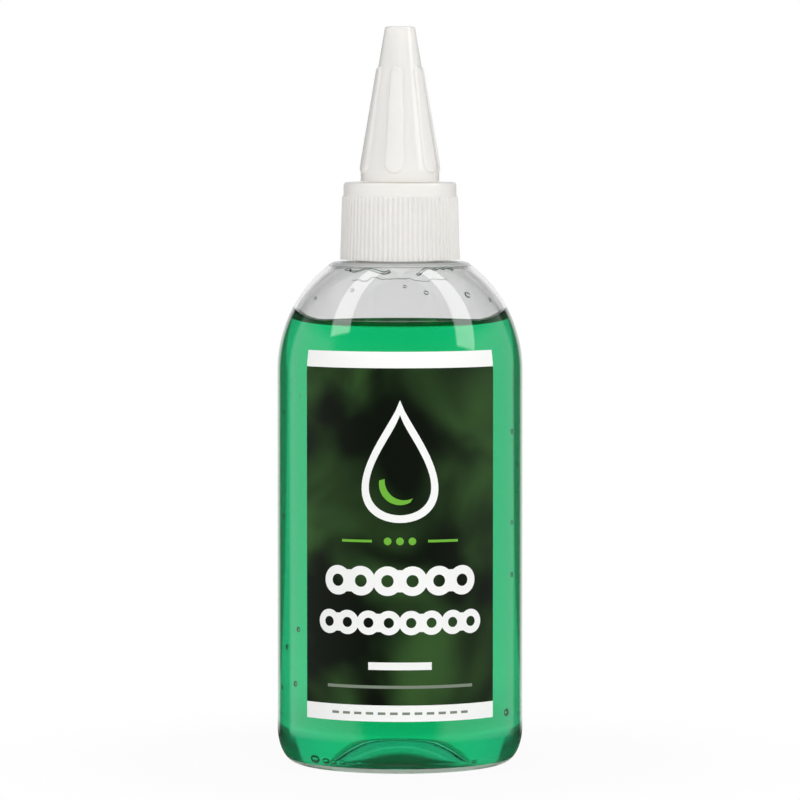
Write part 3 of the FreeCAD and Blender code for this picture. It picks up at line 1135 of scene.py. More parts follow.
    def beads(
        self, name: str, spots: Sequence[tuple[Vector, Vector, Bead]], hollow: bool, oil: Material
    ) -> Mesh:
        """Return a bead of oil, or a hollow in it, at each spot.

        Args:
            name: The name of the tree and the mesh.
            spots: Each bead's place in millimetres, the wall's direction there, and the bead.
            hollow: Whether the beads are bubbles, whose faces look inwards.
            oil: The material.

        Returns:
            The beads as one mesh.
        """
        points = bpy.data.meshes.new(name)
        points.from_pydata([spot * MM for spot, _, _ in spots], [], [])
        sizes = [bead.size * MM for _, _, bead in spots]
        flats = [bead.flat for _, _, bead in spots]
        walls = [value for _, wall, _ in spots for value in wall]
        points.attributes.new("size", "FLOAT", "POINT").data.foreach_set("value", sizes)
        points.attributes.new("flat", "FLOAT", "POINT").data.foreach_set("value", flats)
        points.attributes.new("wall", "FLOAT_VECTOR", "POINT").data.foreach_set("vector", walls)
        growth = Growth(name, {"Segments": 20, "Rings": 12})
        tree = growth.tree
        ball = node(tree, "GeometryNodeMeshUVSphere", {0: growth["Segments"], 1: growth["Rings"]})
        bead = node(tree, "GeometryNodeSetShadeSmooth", {0: ball})
        if hollow:
            bead = node(tree, "GeometryNodeFlipFaces", {0: bead})
        size = node(tree, "GeometryNodeInputNamedAttribute", {0: "size"})
        flat = node(tree, "GeometryNodeInputNamedAttribute", {0: "flat"})
        wall = node(tree, "GeometryNodeInputNamedAttribute", {0: "wall"}, data_type="FLOAT_VECTOR")
        depth = node(tree, "ShaderNodeMath", {0: size, 1: flat}, operation="MULTIPLY")
        scale = node(tree, "ShaderNodeCombineXYZ", {0: size, 1: size, 2: depth})
        turn = node(tree, "FunctionNodeAlignRotationToVector", {"Vector": wall}, axis="Z")
        placed = {0: growth[0], 2: bead, "Rotation": turn, "Scale": scale}
        return growth.run(node(tree, "GeometryNodeInstanceOnPoints", placed), oil, points)

    def bubbles(self, skins: Sequence[Material]) -> list[Mesh]:
        """Return the air bubbles in the fill: those on the wall, with a few behind, and those in the heel.

        Args:
            skins: The skin of the bubbles on the wall and of those in the heel.

        Returns:
            One mesh for each skin.
        """
        dice = random.Random(self.seed)
        ranges = (self.back_turns, self.back_heights, self.back_sizes)
        behind = [Bead(*(dice.uniform(*ends) for ends in ranges)) for _ in range(self.back_count)]
        spots = []
        for bead in (*self.wall_bubbles, *behind):
            clear = bead.size * bead.flat + self.bead_gap
            spots.append((*self.wall_point(bead, clear), bead))
        heel_spots = []
        for bead in self.heel_bubbles:
            turn = FRONT + math.radians(bead.turn)
            across = Vector((math.cos(turn), math.sin(turn), 0)) * self.heel_bubble_radius
            heel_spots.append((across + Vector((0, 0, bead.height)), Vector((0, 0, 1)), bead))
        return [
            self.beads("wall_bubbles", spots, True, skins[0]),
            self.beads("heel_bubbles", heel_spots, True, skins[1]),
        ]

    def residue(
        self, height: float, first: float, last: float, thickness: float, oil: Material
    ) -> Mesh:
        """Return a thin wavy bead of oil that was left under the neck.

        Args:
            height: The bead's height.
            first: The turn from the front at which it starts, in degrees.
            last: The turn at which it ends.
            thickness: Half its thickness.
            oil: The material.

        Returns:
            The bead, on the inside of the shoulder.
        """
        inset = self.bottle.wall
        low, high = (self.bottle.dome_radius(height + step, inset) for step in (-0.5, 0.5))
        growth = Growth(
            "oil_residue",
            {
                "Radius": self.bottle.dome_radius(height, inset) * MM,
                "Height": height * MM,
                "Slope": high - low,
                "Wave": self.residue_wave * MM,
                "Wave length": self.residue_wave_length * MM,
                "Thickness": thickness * MM,
                "Start": FRONT + math.radians(first),
                "Sweep": math.radians(last - first),
            },
        )
        tree = growth.tree
        ends = {"Radius": growth["Radius"], "Start Angle": growth["Start"], "Sweep Angle": growth["Sweep"]}
        ring = node(tree, "GeometryNodeCurveArc", {"Resolution": 120, **ends})
        place_on = node(tree, "GeometryNodeInputPosition")
        density = node(tree, "ShaderNodeMath", {0: 1.0, 1: growth["Wave length"]}, operation="DIVIDE")
        wave = node(tree, "ShaderNodeTexNoise", {"Vector": place_on, "Scale": density, "Detail": 1.5})
        # Noise lies mostly between 0.3 and 0.7, which becomes a swing from -1 to 1.
        swing = node(tree, "ShaderNodeMapRange", {0: wave, 1: 0.3, 2: 0.7, 3: -1.0, 4: 1.0})
        rise = node(tree, "ShaderNodeMath", {0: swing, 1: growth["Wave"]}, operation="MULTIPLY")
        drift = node(tree, "ShaderNodeMath", {0: rise, 1: growth["Slope"]}, operation="MULTIPLY")
        out = node(tree, "ShaderNodeVectorMath", {0: place_on}, operation="NORMALIZE")
        along = node(tree, "ShaderNodeVectorMath", {0: out, "Scale": drift}, operation="SCALE")
        level = node(tree, "ShaderNodeMath", {0: rise, 1: growth["Height"]})
        lift = node(tree, "ShaderNodeCombineXYZ", {2: level})
        step = node(tree, "ShaderNodeVectorMath", {0: along, 1: lift})
        path = node(tree, "GeometryNodeSetPosition", {0: ring, "Offset": step})
        circle = {"Resolution": 10, "Radius": growth["Thickness"]}
        bead = node(tree, "GeometryNodeCurvePrimitiveCircle", circle)
        wide, thin = self.residue_widths
        width = node(tree, "ShaderNodeMapRange", {0: wave, 1: 0.25, 2: 0.7, 3: wide, 4: thin})
        swept = {0: path, 1: bead, "Scale": width, "Fill Caps": True}
        rope = node(tree, "GeometryNodeCurveToMesh", swept)
        return growth.run(rope, oil, bpy.data.meshes.new("oil_residue"))

    def dress(self) -> None:
        """Build the fill with its bubbles, and what clings above it, and place them."""
        oil = GreenOil().make()
        skins = (BubbleSkin().make(), BubbleSkin("flat_bubble_skin", 1.15).make())
        fill = self.build()
        bubbles = self.bubbles(skins)
        for material in (oil, *skins):
            fill.materials.append(material)
        for slot, mesh in enumerate(bubbles, 1):
            mesh.polygons.foreach_set("material_index", [slot] * len(mesh.polygons))
        place(joined("lube_fill", [fill, *bubbles]), Body.FILLED_BOTTLE, "lube_fill")
        film = GreenOil("clinging_oil", inner_gloss=1.0).make()
        spots = [(*self.wall_point(bead, self.bead_gap), bead) for bead in self.drops]
        drops = self.beads("oil_drops", spots, False, film)
        clinging = joined("headspace_oil", [drops, *(self.residue(*line, film) for line in self.residues)])
        place(clinging, Body.FILLED_BOTTLE)


@dataclass
class ScrewCap:
    """The closure: fluted skirt, deck, and hollow post with side windows and sealing pin."""

    bore_radius: float = 9.9
    foot_z: float = 100.375
    flute_top_z: float = 113.175
    crest_foot: float = 11.93
    crest_top: float = 11.55
    flute_count: int = 72
    flute_proud: float = 0.25
    flute_radius: float = 0.4
    band_radius: float = 11.25
    deck_under_z: float = 114.375
    deck_z: float = 115.775
    post_radius: float = 5.85
    bead_radius: float = 6.15
    bead_z: float = 120.125
    bead_top_z: float = 120.925
    cone_radius: float = 4.75
    post_tip_z: float = 139.875
    post_tip_radius: float = 2.0
    pin_radius: float = 1.0
    pin_top_z: float = 146.275
    channel_top_z: float = 138.675
    channel_tip: float = 1.1
    channel_base: float = 4.3
    window_count: int = 3
    window_radius: float = 0.8
    thread_foot: float = 104.0
    inside_lean: float = 0.5
    segments: int = 216
    sharp: float = 40.0

    def build(self) -> Mesh:
        """Return the cap without its flutes and thread."""
        cone_start = self.bead_top_z + self.post_radius - self.cone_radius
        neck_z = self.post_tip_z + self.post_tip_radius - self.pin_radius
        bead_middle = (self.bead_z + self.bead_top_z) / 2
        bead = arc(
            (self.post_radius, bead_middle),
            (self.bead_radius - self.post_radius, (self.bead_top_z - self.bead_z) / 2),
            90,
            -90,
            8,
        )
        post = rounded(
            [
                (0, self.pin_top_z, 0),
                (self.pin_radius, self.pin_top_z, 0.3),
                (self.pin_radius, neck_z, 0.3),
                (self.post_tip_radius, self.post_tip_z, 0.3),
                (self.cone_radius, cone_start, 0.4),
                (*bead[0], 0),
            ],
            3,
        )
        skirt = rounded(
            [
                (*bead[-1], 0),
                (self.post_radius, self.deck_z, 0.35),
                (self.band_radius, self.deck_z, 0.75),
                (self.band_radius, self.flute_top_z + 0.3, 0.1),
                (self.crest_top - self.flute_proud, self.flute_top_z, 0.1),
                (self.crest_foot - self.flute_proud, self.foot_z, 0.15),
                (self.bore_radius, self.foot_z, 0.25),
                (self.bore_radius, self.deck_under_z, 0.3),
                (self.channel_base, self.deck_under_z, 0.2),
                (self.channel_tip, self.channel_top_z, 0.2),
                (0, self.channel_top_z, 0),
            ],
            6,
        )
        return as_mesh(lathe([*post, *bead[1:], *skirt[1:]], self.segments), "screw_cap")

    def drill(self, cap: Mesh) -> Mesh:
        """Return the cap with the windows cut through its post."""
        drills = bmesh.new()
        height = (self.channel_top_z - 2 * self.window_radius) * MM
        for number in range(self.window_count):
            turn = Matrix.Rotation(2 * math.pi * number / self.window_count, 4, "Z")
            lie = Matrix.Rotation(math.pi / 2, 4, "Y")
            out = Matrix.Translation((self.post_radius / 2 * MM, 0, height))
            bmesh.ops.create_cone(
                drills,
                cap_ends=True,
                segments=24,
                radius1=self.window_radius * MM,
                radius2=self.window_radius * MM,
                depth=self.post_radius * MM,
                matrix=turn @ (out @ lie),
            )
        tool = put("window_drills", as_mesh(drills, "window_drills"))
        blank = put("cap_blank", cap)
        cut = blank.modifiers.new("windows", "BOOLEAN")
        cut.operation = "DIFFERENCE"
        cut.object = tool
        graph = bpy.context.evaluated_depsgraph_get()
        drilled = bpy.data.meshes.new_from_object(blank.evaluated_get(graph))
        for item in (blank, tool):
            mesh = item.data
            bpy.data.objects.remove(item)
            bpy.data.meshes.remove(mesh)
        return drilled

    def flutes(self, plastic: Material) -> Mesh:
        """Return the grip flutes: round-topped ribs that lean with the skirt's taper."""
        sink = self.flute_radius - self.flute_proud
        growth = Growth(
            "grip_flutes",
            {
                "Count": self.flute_count,
                "Radius": self.flute_radius * MM,
                "Foot radius": (self.crest_foot - self.flute_proud - sink) * MM,
                "Top radius": (self.crest_top - self.flute_proud - sink) * MM,
                "Foot": self.foot_z * MM,
                "Top": self.flute_top_z * MM,
                "End rounding": 0.06,
            },
        )
        tree = growth.tree
        foot = node(tree, "ShaderNodeCombineXYZ", {0: growth["Foot radius"], 2: growth["Foot"]})
        top = node(tree, "ShaderNodeCombineXYZ", {0: growth["Top radius"], 2: growth["Top"]})
        line = node(tree, "GeometryNodeCurvePrimitiveLine", {0: foot, 1: top})
        rail = node(tree, "GeometryNodeResampleCurve", {0: line, "Count": 48})
        along = node(tree, "GeometryNodeSplineParameter").outputs["Factor"]
        left = node(tree, "ShaderNodeMath", {0: 1.0, 1: along}, operation="SUBTRACT")
        share = node(tree, "ShaderNodeMath", {0: left, 1: growth["End rounding"]}, operation="DIVIDE")
        near = node(tree, "ShaderNodeMath", {0: share, 1: 1.0}, operation="MINIMUM")
        gone = node(tree, "ShaderNodeMath", {0: 1.0, 1: near}, operation="SUBTRACT")
        square = node(tree, "ShaderNodeMath", {0: gone, 1: 2.0}, operation="POWER")
        rest = node(tree, "ShaderNodeMath", {0: 1.0, 1: square}, operation="SUBTRACT")
        dome = node(tree, "ShaderNodeMath", {0: rest, 1: 0.5}, operation="POWER")
        circle = {"Resolution": 14, "Radius": growth["Radius"]}
        ring = node(tree, "GeometryNodeCurvePrimitiveCircle", circle)
        swept = {0: rail, 1: ring, "Scale": dome, "Fill Caps": True}
        bar = node(tree, "GeometryNodeCurveToMesh", swept)
        spots = node(tree, "GeometryNodePoints", {"Count": growth["Count"]})
        number = node(tree, "GeometryNodeInputIndex")
        pitch = node(tree, "ShaderNodeMath", {0: 2 * math.pi, 1: growth["Count"]}, operation="DIVIDE")
        angle = node(tree, "ShaderNodeMath", {0: number, 1: pitch}, operation="MULTIPLY")
        turn = node(tree, "ShaderNodeCombineXYZ", {2: angle})
        round_it = node(tree, "GeometryNodeInstanceOnPoints", {0: spots, 2: bar, "Rotation": turn})
        return growth.run(round_it, plastic, bpy.data.meshes.new("grip_flutes"))

    def gets_painted_glow(self, face: Face) -> bool:
        """Return whether a face is on the skirt's inside or under the deck, where it gets a painted glow.
        """
        inwards = face.normal.xy.dot(face.center.xy.normalized()) < -self.inside_lean
        under = face.normal.z < -self.inside_lean and face.center.z > self.flute_top_z * MM
        return face.center.xy.length > self.bead_radius * MM and (inwards or under)

    def dress(self) -> None:
        """Build the cap in white polypropylene, with a painted glow inside its skirt and on its thread,
        and place it.
        """
        plastic = MouldedPolypropylene().make()
        cap = self.drill(self.build())
        cap.materials.append(plastic)
        # The second slot glows with painted light, standing in for light through the thin wall.
        cap.materials.append(MouldedPolypropylene("painted_glow_polypropylene", painted_glow=0.42).make())
        for face in cap.polygons:
            face.material_index = int(self.gets_painted_glow(face))
        thread = ScrewThread("cap_thread", self.bore_radius, self.thread_foot, False).build(plastic)
        # The thread inside the skirt gets the painted glow too.
        for face in thread.polygons:
            face.material_index = 1
        whole = smooth(joined("screw_cap", [cap, self.flutes(plastic), thread]), self.sharp)
        place(whole, Body.CAP, "screw_cap")


@dataclass
class TwistSpout:
    """The spout: a hollow cone with six round-ended grip ribs, a snap recess and a small orifice."""

    foot_z: float = 115.875
    top_z: float = 146.675
    collar_radius: float = 7.9
    collar_top_z: float = 117.575
    tip_radius: float = 3.1
    tip_z: float = 146.075
    wall: float = 1.2
    bore_radius: float = 6.0
    recess_radius: float = 6.3
    lip_top_z: float = 116.775
    recess_top_z: float = 121.075
    orifice_radius: float = 1.1
    orifice_land: float = 2.6
    rib_count: int = 6
    rib_angle: float = 28.0
    rib_turn: float = -8.6
    rib_proud: float = 0.38
    rib_foot_z: float = 117.675
    rib_top_z: float = 138.675
    rib_edge: float = 0.16
    snap_lean: float = 0.3
    tip_round: float = 0.6
    foot_edge: float = 0.15
    foot_lean: float = 0.7
    segments: int = 288
    sharp: float = 50.0

    def cone(self, height: float) -> float:
        """Return the plain cone's radius at a height."""
        slope = (self.collar_radius - self.tip_radius) / (self.tip_z - self.collar_top_z)
        return self.collar_radius - slope * (height - self.collar_top_z)

    def profile(self) -> tuple[list[Point], int]:
        """Return the closed profile and how many of its points lie on the outside."""
        funnel_z = self.top_z - self.orifice_land
        drop = self.cone(funnel_z) - self.wall - self.orifice_radius
        narrowing = self.collar_radius - self.tip_radius
        share = (self.collar_radius - self.wall - self.bore_radius) / narrowing
        inner_start = self.collar_top_z + share * (self.tip_z - self.collar_top_z)
        start_z = max(inner_start, self.recess_top_z + self.snap_lean / 2)
        outside = rounded(
            [
                (self.bore_radius, self.foot_z, 0),
                (self.collar_radius, self.foot_z, 0.25),
                (self.collar_radius, self.collar_top_z, 0.4),
                (self.cone(self.rib_foot_z), self.rib_foot_z + 0.4, 0),
            ]
        )
        run = split(outside[-1], (self.tip_radius, self.tip_z), 110)
        tip_centre = (self.tip_radius - self.tip_round, self.tip_z)
        tip = arc(tip_centre, (self.tip_round, self.tip_round), 0, 90, 8)
        inside = rounded(
            [
                (*tip[-1], 0),
                (self.orifice_radius, self.top_z, 0.25),
                (self.orifice_radius, funnel_z, 0.2),
                (self.cone(funnel_z - drop) - self.wall, funnel_z - drop, 0.2),
                (self.bore_radius, start_z, 0.1),
                (self.bore_radius, self.recess_top_z + self.snap_lean, 0),
                (self.recess_radius, self.recess_top_z, 0),
                (self.recess_radius, self.lip_top_z + self.snap_lean, 0),
                (self.bore_radius, self.lip_top_z, 0.1),
                (self.bore_radius, self.foot_z, 0),
            ],
            3,
        )
        skin = [*outside, *run, *tip]
        return [*skin, *inside[1:-1]], len(skin)

    def ribs(self, cone: Mesh, plastic: Material) -> Mesh:
        """Return the cone with its grip ribs raised from the skin.

        Args:
            cone: The plain cone, whose attribute "skin" is 1 on the outside.
            plastic: The material.

        Returns:
            The ribbed cone.
        """
        half = math.sin(math.radians(self.rib_angle / 2))
        low = self.rib_foot_z + half * self.cone(self.rib_foot_z)
        high = self.rib_top_z - half * self.cone(self.rib_top_z)
        growth = Growth(
            "grip_ribs",
            {
                "Count": self.rib_count,
                "Turn": FRONT + math.radians(self.rib_turn),
                "Half width share": half,
                "Low end": low * MM,
                "High end": high * MM,
                "Proud": self.rib_proud * MM,
                "Edge": self.rib_edge * MM,
            },
        )
        tree = growth.tree
        spot = node(tree, "GeometryNodeInputPosition")
        x, y, z = node(tree, "ShaderNodeSeparateXYZ", {0: spot}).outputs
        flat = node(tree, "ShaderNodeCombineXYZ", {0: x, 1: y})
        radius = node(tree, "ShaderNodeVectorMath", {0: flat}, operation="LENGTH").outputs["Value"]
        out = node(tree, "ShaderNodeVectorMath", {0: flat}, operation="NORMALIZE")
        bearing = node(tree, "ShaderNodeMath", {0: y, 1: x}, operation="ARCTAN2")
        turned = node(tree, "ShaderNodeMath", {0: bearing, 1: growth["Turn"]}, operation="SUBTRACT")
        pitch = node(tree, "ShaderNodeMath", {0: 2 * math.pi, 1: growth["Count"]}, operation="DIVIDE")
        cell = node(tree, "ShaderNodeMath", {0: turned, 1: pitch}, operation="DIVIDE")
        whole = node(tree, "ShaderNodeMath", {0: cell}, operation="ROUND")
        part = node(tree, "ShaderNodeMath", {0: cell, 1: whole}, operation="SUBTRACT")
        angle = node(tree, "ShaderNodeMath", {0: part, 1: pitch}, operation="MULTIPLY")
        sine = node(tree, "ShaderNodeMath", {0: angle}, operation="SINE")
        across = node(tree, "ShaderNodeMath", {0: sine, 1: radius}, operation="MULTIPLY")
        below = node(tree, "ShaderNodeMath", {0: growth["Low end"], 1: z}, operation="SUBTRACT")
        above = node(tree, "ShaderNodeMath", {0: z, 1: growth["High end"]}, operation="SUBTRACT")
        past = node(tree, "ShaderNodeMath", {0: below, 1: above}, operation="MAXIMUM")
        beyond = node(tree, "ShaderNodeMath", {0: past, 1: 0.0}, operation="MAXIMUM")
        reach = node(tree, "ShaderNodeCombineXYZ", {0: across, 1: beyond})
        far = node(tree, "ShaderNodeVectorMath", {0: reach}, operation="LENGTH").outputs["Value"]
        wide = {0: radius, 1: growth["Half width share"]}
        width = node(tree, "ShaderNodeMath", wide, operation="MULTIPLY")
        gap = node(tree, "ShaderNodeMath", {0: far, 1: width}, operation="SUBTRACT")
        inner = node(tree, "ShaderNodeMath", {0: growth["Edge"], 1: -1.0}, operation="MULTIPLY")
        ends = {0: gap, 1: growth["Edge"], 2: inner}
        raised = node(tree, "ShaderNodeMapRange", ends, interpolation_type="SMOOTHSTEP")
        skin = node(tree, "GeometryNodeInputNamedAttribute", {0: "skin"})
        kept = node(tree, "ShaderNodeMath", {0: raised, 1: skin}, operation="MULTIPLY")
        height = node(tree, "ShaderNodeMath", {0: kept, 1: growth["Proud"]}, operation="MULTIPLY")
        push = node(tree, "ShaderNodeVectorMath", {0: out, "Scale": height}, operation="SCALE")
        grown = node(tree, "GeometryNodeSetPosition", {0: growth[0], "Offset": push})
        return growth.run(grown, plastic, cone)

    def foot_gets_painted_glow(self, face: Face) -> bool:
        """Return whether a face is on the underside, which stands on the cap's deck and gets a painted
        glow.
        """
        return face.normal.z < -self.foot_lean and face.center.z < (self.foot_z + self.foot_edge) * MM

    def dress(self) -> None:
        """Build the spout in polished white polypropylene, with a painted glow on its foot, and place it.
        """
        polished = {"roughness": (0.1, 0.15), "softness": 0.6, "soft_mm": 2.0}
        plastic = MouldedPolypropylene("polished_polypropylene", **polished).make()
        points, on_skin = self.profile()
        cone = as_mesh(lathe(points, self.segments, True), "cone_blank")
        skin = [1.0 if index // self.segments < on_skin else 0.0 for index in range(len(cone.vertices))]
        cone.attributes.new("skin", "FLOAT", "POINT").data.foreach_set("value", skin)
        spout = self.ribs(cone, plastic)
        spout.name = "twist_spout"
        # The foot's slot glows with painted light, so that the line where it meets the deck is not dark.
        spout.materials.append(MouldedPolypropylene("painted_glow_foot_polypropylene", painted_glow=0.3).make())
        for face in spout.polygons:
            face.material_index = int(self.foot_gets_painted_glow(face))
        smooth(spout, self.sharp)
        place(spout, Body.SPOUT, "twist_spout")


@dataclass(frozen=True)
class Patch:
    """A field of ink: its outline across and up the flat label, its ink and its layer."""

    outline: tuple[Point, ...]
    ink: Ink
    layer: int = 1


@dataclass
class FrontLabel:
    """The front label: a white film that follows the wall, with a plain printed design."""

    bottle: Bottle
    half_angle: float = 48.0
    height: float = 72.4
    foot_z: float = 10.7
    film_back: float = 0.05
    film_face: float = 0.1
    ink_step: float = 0.009
    foot_band: float = 3.2
    top_band: float = 3.2
    # Each run of chain links: its name, how many plates it has, their pitch and the run's height.
    runs: tuple[tuple[str, int, float, float], ...] = (
        ("upper_links", 3, 10.2, 27.6),
        ("lower_links", 4, 8.4, 19.4),
    )
    # A link plate's sizes: its ends and their spread as shares of the pitch, its holes of its ends.
    plate_end: float = 0.285
    plate_spread: float = 0.24
    plate_hole: float = 0.42
    # A drop's tip is as fine as this power of its swing, and its belly as wide as this divisor.
    drop_point: float = 1.6
    drop_belly: float = 1.32
    sharp: float = 60.0

    @property
    def half_width(self) -> float:
        """Return half the label's width along the wall."""
        return math.radians(self.half_angle) * self.bottle.radius

    def bar(self, u: float, v: float, width: float, height: float, ink: Ink, layer: int = 1) -> Patch:
        """Return an upright rectangle of ink about a point."""
        w, h = width / 2, height / 2
        return Patch(((u - w, v - h), (u + w, v - h), (u + w, v + h), (u - w, v + h)), ink, layer)

    def drop(self, u: float, v: float, width: float, height: float, ink: Ink, layer: int = 1) -> Patch:
        """Return an oil drop about a point."""
        turns = [2 * math.pi * step / 64 for step in range(64)]
        shape = [(math.sin(t) * math.sin(t / 2) ** self.drop_point, math.cos(t)) for t in turns]
        outline = tuple((u + x * width / self.drop_belly, v + y * height / 2) for x, y in shape)
        return Patch(outline, ink, layer)

    def disc(self, u: float, v: float, radius: float, ink: Ink, layer: int = 1) -> Patch:
        """Return a round spot of ink."""
        return Patch(tuple(arc((u, v), (radius, radius), 0, 345, 23)), ink, layer)

    def crescent(self, u: float, v: float, radius: float, ink: Ink, layer: int) -> Patch:
        """Return a crescent of ink that opens up and to the right."""
        outer = arc((u, v), (radius, radius), 170, 300, 26)
        inner = arc((u + radius * 0.2, v + radius * 0.16), (radius * 0.93, radius * 0.93), 296, 175, 26)
        return Patch((*outer, *inner), ink, layer)

    def patches(self) -> list[Patch]:
        """Return the plain fields and shapes of the print, apart from the chain links."""
        field_height = self.height - self.foot_band - self.top_band
        middle = self.foot_band + field_height / 2
        ground = self.bar(0, middle, 2 * self.half_width, field_height, Ink.DEEP_GREEN, 0)
        shapes = [
            self.drop(0, 51.0, 14.5, 24.0, Ink.WHITE),
            self.drop(0, 50.3, 11.7, 19.6, Ink.DEEP_GREEN, 2),
            self.crescent(0, 46.6, 4.1, Ink.LIME, 3),
            *(self.bar(u, 35.4, 6.2, 0.5, Ink.LIME) for u in (-8.6, 8.6)),
            *(self.disc(u, 35.4, 0.75, Ink.LIME) for u in (-2.4, 0, 2.4)),
            self.bar(0, 10.9, 12.5, 1.5, Ink.WHITE),
            self.bar(0, 6.8, 30.0, 0.6, Ink.GREY_GREEN),
        ]
        dashes = [self.bar(-13.2 + 2.4 * step, 1.6, 1.5, 0.5, Ink.GREY_GREEN) for step in range(12)]
        return [ground, *shapes, *dashes]

    def links(self, name: str, count: int, pitch: float, v: float, white: Material) -> Mesh:
        """Return a flat run of chain link plates, each with two open pin holes.

        Args:
            name: The name of the tree and the mesh.
            count: How many plates the run has.
            pitch: The distance between two plates.
            v: The run's height on the label.
            white: The material.

        Returns:
            The plates, flat, across X and up Z.
        """
        plate = bmesh.new()
        size = pitch * self.plate_end
        spread = pitch * self.plate_spread
        hole = size * self.plate_hole
        left = arc((-spread, 0), (size, size), 48, 312, 20)
        right = arc((spread, 0), (size, size), -132, 132, 20)
        holes = [arc((side, 0), (hole, hole), 0, 337.5, 15) for side in (-spread, spread)]
        edges = []
        for outline in ([*left, *right], *holes):
            rim = [plate.verts.new((x, 0, y)) for x, y in outline]
            edges += [plate.edges.new((a, b)) for a, b in zip(rim, [*rim[1:], rim[0]])]
        bmesh.ops.triangle_fill(plate, use_beauty=True, use_dissolve=False, edges=edges)
        first = -pitch * (count - 1) / 2
        growth = Growth(name, {"Count": count, "Pitch": pitch, "Start": first, "Height": v})
        tree = growth.tree
        start = node(tree, "ShaderNodeCombineXYZ", {0: growth["Start"], 2: growth["Height"]})
        step = node(tree, "ShaderNodeCombineXYZ", {0: growth["Pitch"]})
        line = {"Count": growth["Count"], "Start Location": start, "Offset": step}
        row = node(tree, "GeometryNodeMeshLine", line)
        laid = node(tree, "GeometryNodeInstanceOnPoints", {0: row, 2: growth[0]})
        return growth.run(laid, white, as_mesh(plate, name))

    def wrap(self, flat: Shell) -> None:
        """Bend a flat shell, in millimetres across X and up Z with its lift in -Y, round the bottle."""
        for vert in flat.verts:
            across, depth, up = vert.co
            radius = self.bottle.dome_radius(self.foot_z + up, 0.0) - depth
            turn = FRONT + across / self.bottle.radius
            x, y = radius * math.cos(turn), radius * math.sin(turn)
            vert.co = (x * MM, y * MM, (self.foot_z + up) * MM)

    def sliced(self, flat: Shell) -> None:
        """Cut a flat shell into strips that are narrow enough to bend smoothly."""
        reach = math.ceil(self.half_width)
        dome_foot = math.floor(self.bottle.dome_start - self.foot_z)
        cuts = [((u, 0, 0), (1, 0, 0)) for u in range(-reach, reach)]
        cuts += [((0, 0, v), (0, 0, 1)) for v in range(dome_foot, math.ceil(self.height))]
        for spot, across in cuts:
            everything = [*flat.verts, *flat.edges, *flat.faces]
            bmesh.ops.bisect_plane(flat, geom=everything, plane_co=spot, plane_no=across, dist=1e-4)

    def thicken(self, flat: Shell, depth: float) -> None:
        """Give a flat shell a thickness towards the front, so that it is closed."""
        grown = bmesh.ops.extrude_face_region(flat, geom=list(flat.faces), use_keep_orig=True)["geom"]
        for item in grown:
            if isinstance(item, bmesh.types.BMVert):
                item.co.y -= depth
        bmesh.ops.recalc_face_normals(flat, faces=flat.faces)

    def build_film(self) -> Mesh:
        """Return the white film."""
        film = bmesh.new()
        half, depth = self.half_width, -self.film_back
        corners = ((-half, 0), (half, 0), (half, self.height), (-half, self.height))
        film.faces.new([film.verts.new((u, depth, v)) for u, v in corners])
        self.sliced(film)
        self.thicken(film, self.film_face - self.film_back)
        self.wrap(film)
        return as_mesh(film, "front_label", self.sharp)

    def build_print(self, white: Material) -> Mesh:
        """Return the ink on the film, each patch in its own slot."""
        ink = bmesh.new()
        for patch in self.patches():
            depth = -self.film_face - self.ink_step * (patch.layer + 1)
            made = ink.faces.new([ink.verts.new((u, depth, v)) for u, v in patch.outline])
            made.material_index = patch.ink.value
        for run in self.runs:
            plates = self.links(*run, white)
            plates.transform(Matrix.Translation((0, -self.film_face - 2 * self.ink_step, 0)))
            before = len(ink.faces)
            ink.from_mesh(plates)
            ink.faces.ensure_lookup_table()
            for face in ink.faces[before:]:
                face.material_index = Ink.WHITE.value
            bpy.data.meshes.remove(plates)
        bmesh.ops.triangulate(ink, faces=ink.faces)
        self.sliced(ink)
        self.thicken(ink, self.ink_step * 0.5)
        self.wrap(ink)
        return as_mesh(ink, "label_print", self.sharp)

    def dress(self) -> None:
        """Build the film and its print and place them."""
        film = self.build_film()
        film.materials.append(PrintedFilm("white_label_film", "#f9faf8").make())
        place(film, Body.FILLED_BOTTLE, "front_label")
        inks = {
            Ink.DEEP_GREEN: PrintedFilm("deep_green_ink", "#0d150b", "#35562a").make(),
            Ink.WHITE: PrintedFilm("white_ink", "#f4f5f3").make(),
            Ink.LIME: PrintedFilm("lime_ink", "#6fb43c").make(),
            Ink.GREY_GREEN: PrintedFilm("grey_green_ink", "#7f8a7a").make(),
        }
        sheet = self.build_print(inks[Ink.WHITE])
        for ink in Ink:
            sheet.materials.append(inks[ink])
        place(sheet, Body.FILLED_BOTTLE)


